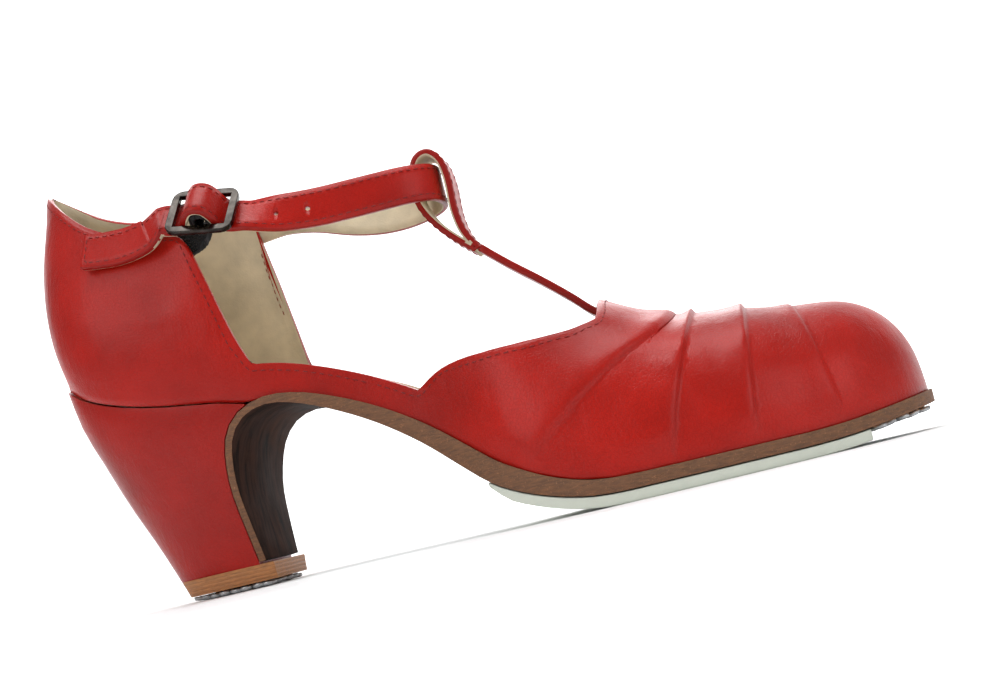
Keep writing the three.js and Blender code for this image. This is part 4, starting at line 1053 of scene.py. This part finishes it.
class SHOE_OT_stage(bpy.types.Operator):
    """Pale seamless floor, soft lights and the camera"""

    bl_idname = "shoe.stage"
    bl_label = "Stage"

    def execute(self, context):
        self.backdrop()
        self.lights()
        self.camera()
        return {"FINISHED"}

    def backdrop(self):
        """Floor that curves up into a wall far behind the shoe."""
        reach = 2.0
        bend = 1.0
        profile = [(-reach, 0.0), (reach, 0.0)]
        for k in range(1, 13):
            turn = math.pi / 2 * k / 12
            profile.append((reach + bend * math.sin(turn), bend * (1 - math.cos(turn))))
        profile.append((reach + bend, 2 * reach))
        made = bmesh.new()
        rows = []
        for y, z in profile:
            rows.append([made.verts.new((x, y, z)) for x in (-2 * reach, 2 * reach)])
        for a, b in zip(rows, rows[1:]):
            made.faces.new((a[0], a[1], b[1], b[0]))
        finish = Finish("studio floor", colours().floor, 0.6)
        finish.paint(finish.mixed(
            finish.noise(0.4, 2), finish.shade(0.985), finish.shade(1.01)))
        finish.shader.inputs["Emission Color"].default_value = (1, 1, 1, 1)
        parts = finish.nodes.new("ShaderNodeSeparateXYZ")
        finish.link(finish.where, parts.inputs[0])
        glow = finish.between(parts.outputs["Y"], 0.15, 0.8, 0.0, 0.95)
        finish.link(glow, finish.shader.inputs["Emission Strength"])
        to_object(made, "studio_floor", [finish.material])

    def lights(self):
        """Large soft boxes: overhead, from the front left and from behind."""
        world = bpy.data.worlds.new("studio")
        world.use_nodes = True
        background = world.node_tree.nodes["Background"]
        background.inputs["Color"].default_value = (0.97, 0.985, 1.0, 1)
        background.inputs["Strength"].default_value = 0.3
        bpy.context.scene.world = world
        target = place(115, 0, 50)
        boxes = [
            ("overhead", (0.05, -0.10, 1.30), 13.0, (1.1, 0.7)),
            ("front_left", (-0.95, -1.2, 0.85), 7.0, (0.9, 0.9)),
            ("right", (1.3, -0.7, 0.55), 3.0, (0.5, 0.7)),
            ("behind", (-0.3, 1.4, 1.0), 9.0, (1.2, 0.7)),
        ]
        for name, where, power, size in boxes:
            light = bpy.data.lights.new(name, "AREA")
            light.shape = "RECTANGLE"
            light.size, light.size_y = size
            light.energy = power
            thing = bpy.data.objects.new(name, light)
            thing.location = where
            thing.rotation_mode = "QUATERNION"
            thing.rotation_quaternion = (target - Vector(where)).to_track_quat("-Z", "Y")
            bpy.context.scene.collection.objects.link(thing)

    def camera(self):
        """The photograph's direction and roll, with the elevation stopped just above the floor."""
        turned = math.radians(7.8)
        roll = math.radians(13.4)
        distance = 390 * MM
        focal_pixels = 1442.6
        target = place(123, 0, 51)
        back = Vector((math.sin(turned), -math.cos(turned), 0))
        position = target + back * distance
        position.z = 6 * MM
        forward = (target - position).normalized()
        level = forward.cross(Vector((0, 0, 1))).normalized()
        upright = level.cross(forward)
        right = level * math.cos(roll) - upright * math.sin(roll)
        up = level * math.sin(roll) + upright * math.cos(roll)
        camera = bpy.data.cameras.new("camera")
        camera.sensor_width = 36
        camera.lens = camera.sensor_width * focal_pixels / PHOTO_SIZE[0]
        camera.clip_start = 0.01
        thing = bpy.data.objects.new("camera", camera)
        turn = Matrix((right, up, -forward)).transposed().to_4x4()
        thing.matrix_world = Matrix.Translation(position) @ turn
        bpy.context.scene.collection.objects.link(thing)
        bpy.context.scene.camera = thing
        bpy.context.scene.view_settings.view_transform = "Standard"


OPERATORS = (
    SHOE_OT_stage,
    SHOE_OT_upper,
    SHOE_OT_insole,
    SHOE_OT_heel,
    SHOE_OT_soles,
    SHOE_OT_straps,
    SHOE_OT_buckle,
    SHOE_OT_nails,
)


class SHOE_PT_panel(bpy.types.Panel):
    """Lists the pieces of the shoe"""

    bl_idname = "SHOE_PT_panel"
    bl_label = "Shoe"
    bl_space_type = "VIEW_3D"
    bl_region_type = "UI"
    bl_category = "Shoe"

    def draw(self, context):
        for operator in OPERATORS:
            self.layout.operator(operator.bl_idname)
        for group in (context.scene.shoe_sizes, context.scene.shoe_colours):
            for name in group.__annotations__:
                self.layout.prop(group, name)


CLASSES = (ShoeSizes, ShoeColours, *OPERATORS, SHOE_PT_panel)


def register():
    for cls in CLASSES:
        bpy.utils.register_class(cls)
    bpy.types.Scene.shoe_sizes = bpy.props.PointerProperty(type=ShoeSizes)
    bpy.types.Scene.shoe_colours = bpy.props.PointerProperty(type=ShoeColours)


def unregister():
    del bpy.types.Scene.shoe_sizes
    del bpy.types.Scene.shoe_colours
    for cls in reversed(CLASSES):
        bpy.utils.unregister_class(cls)


def main():
    register()
    bpy.ops.shoe.stage()
    bpy.ops.shoe.upper()
    bpy.ops.shoe.insole()
    bpy.ops.shoe.heel()
    bpy.ops.shoe.soles()
    bpy.ops.shoe.straps()
    bpy.ops.shoe.buckle()
    bpy.ops.shoe.nails()


if __name__ == "__main__":
    main()
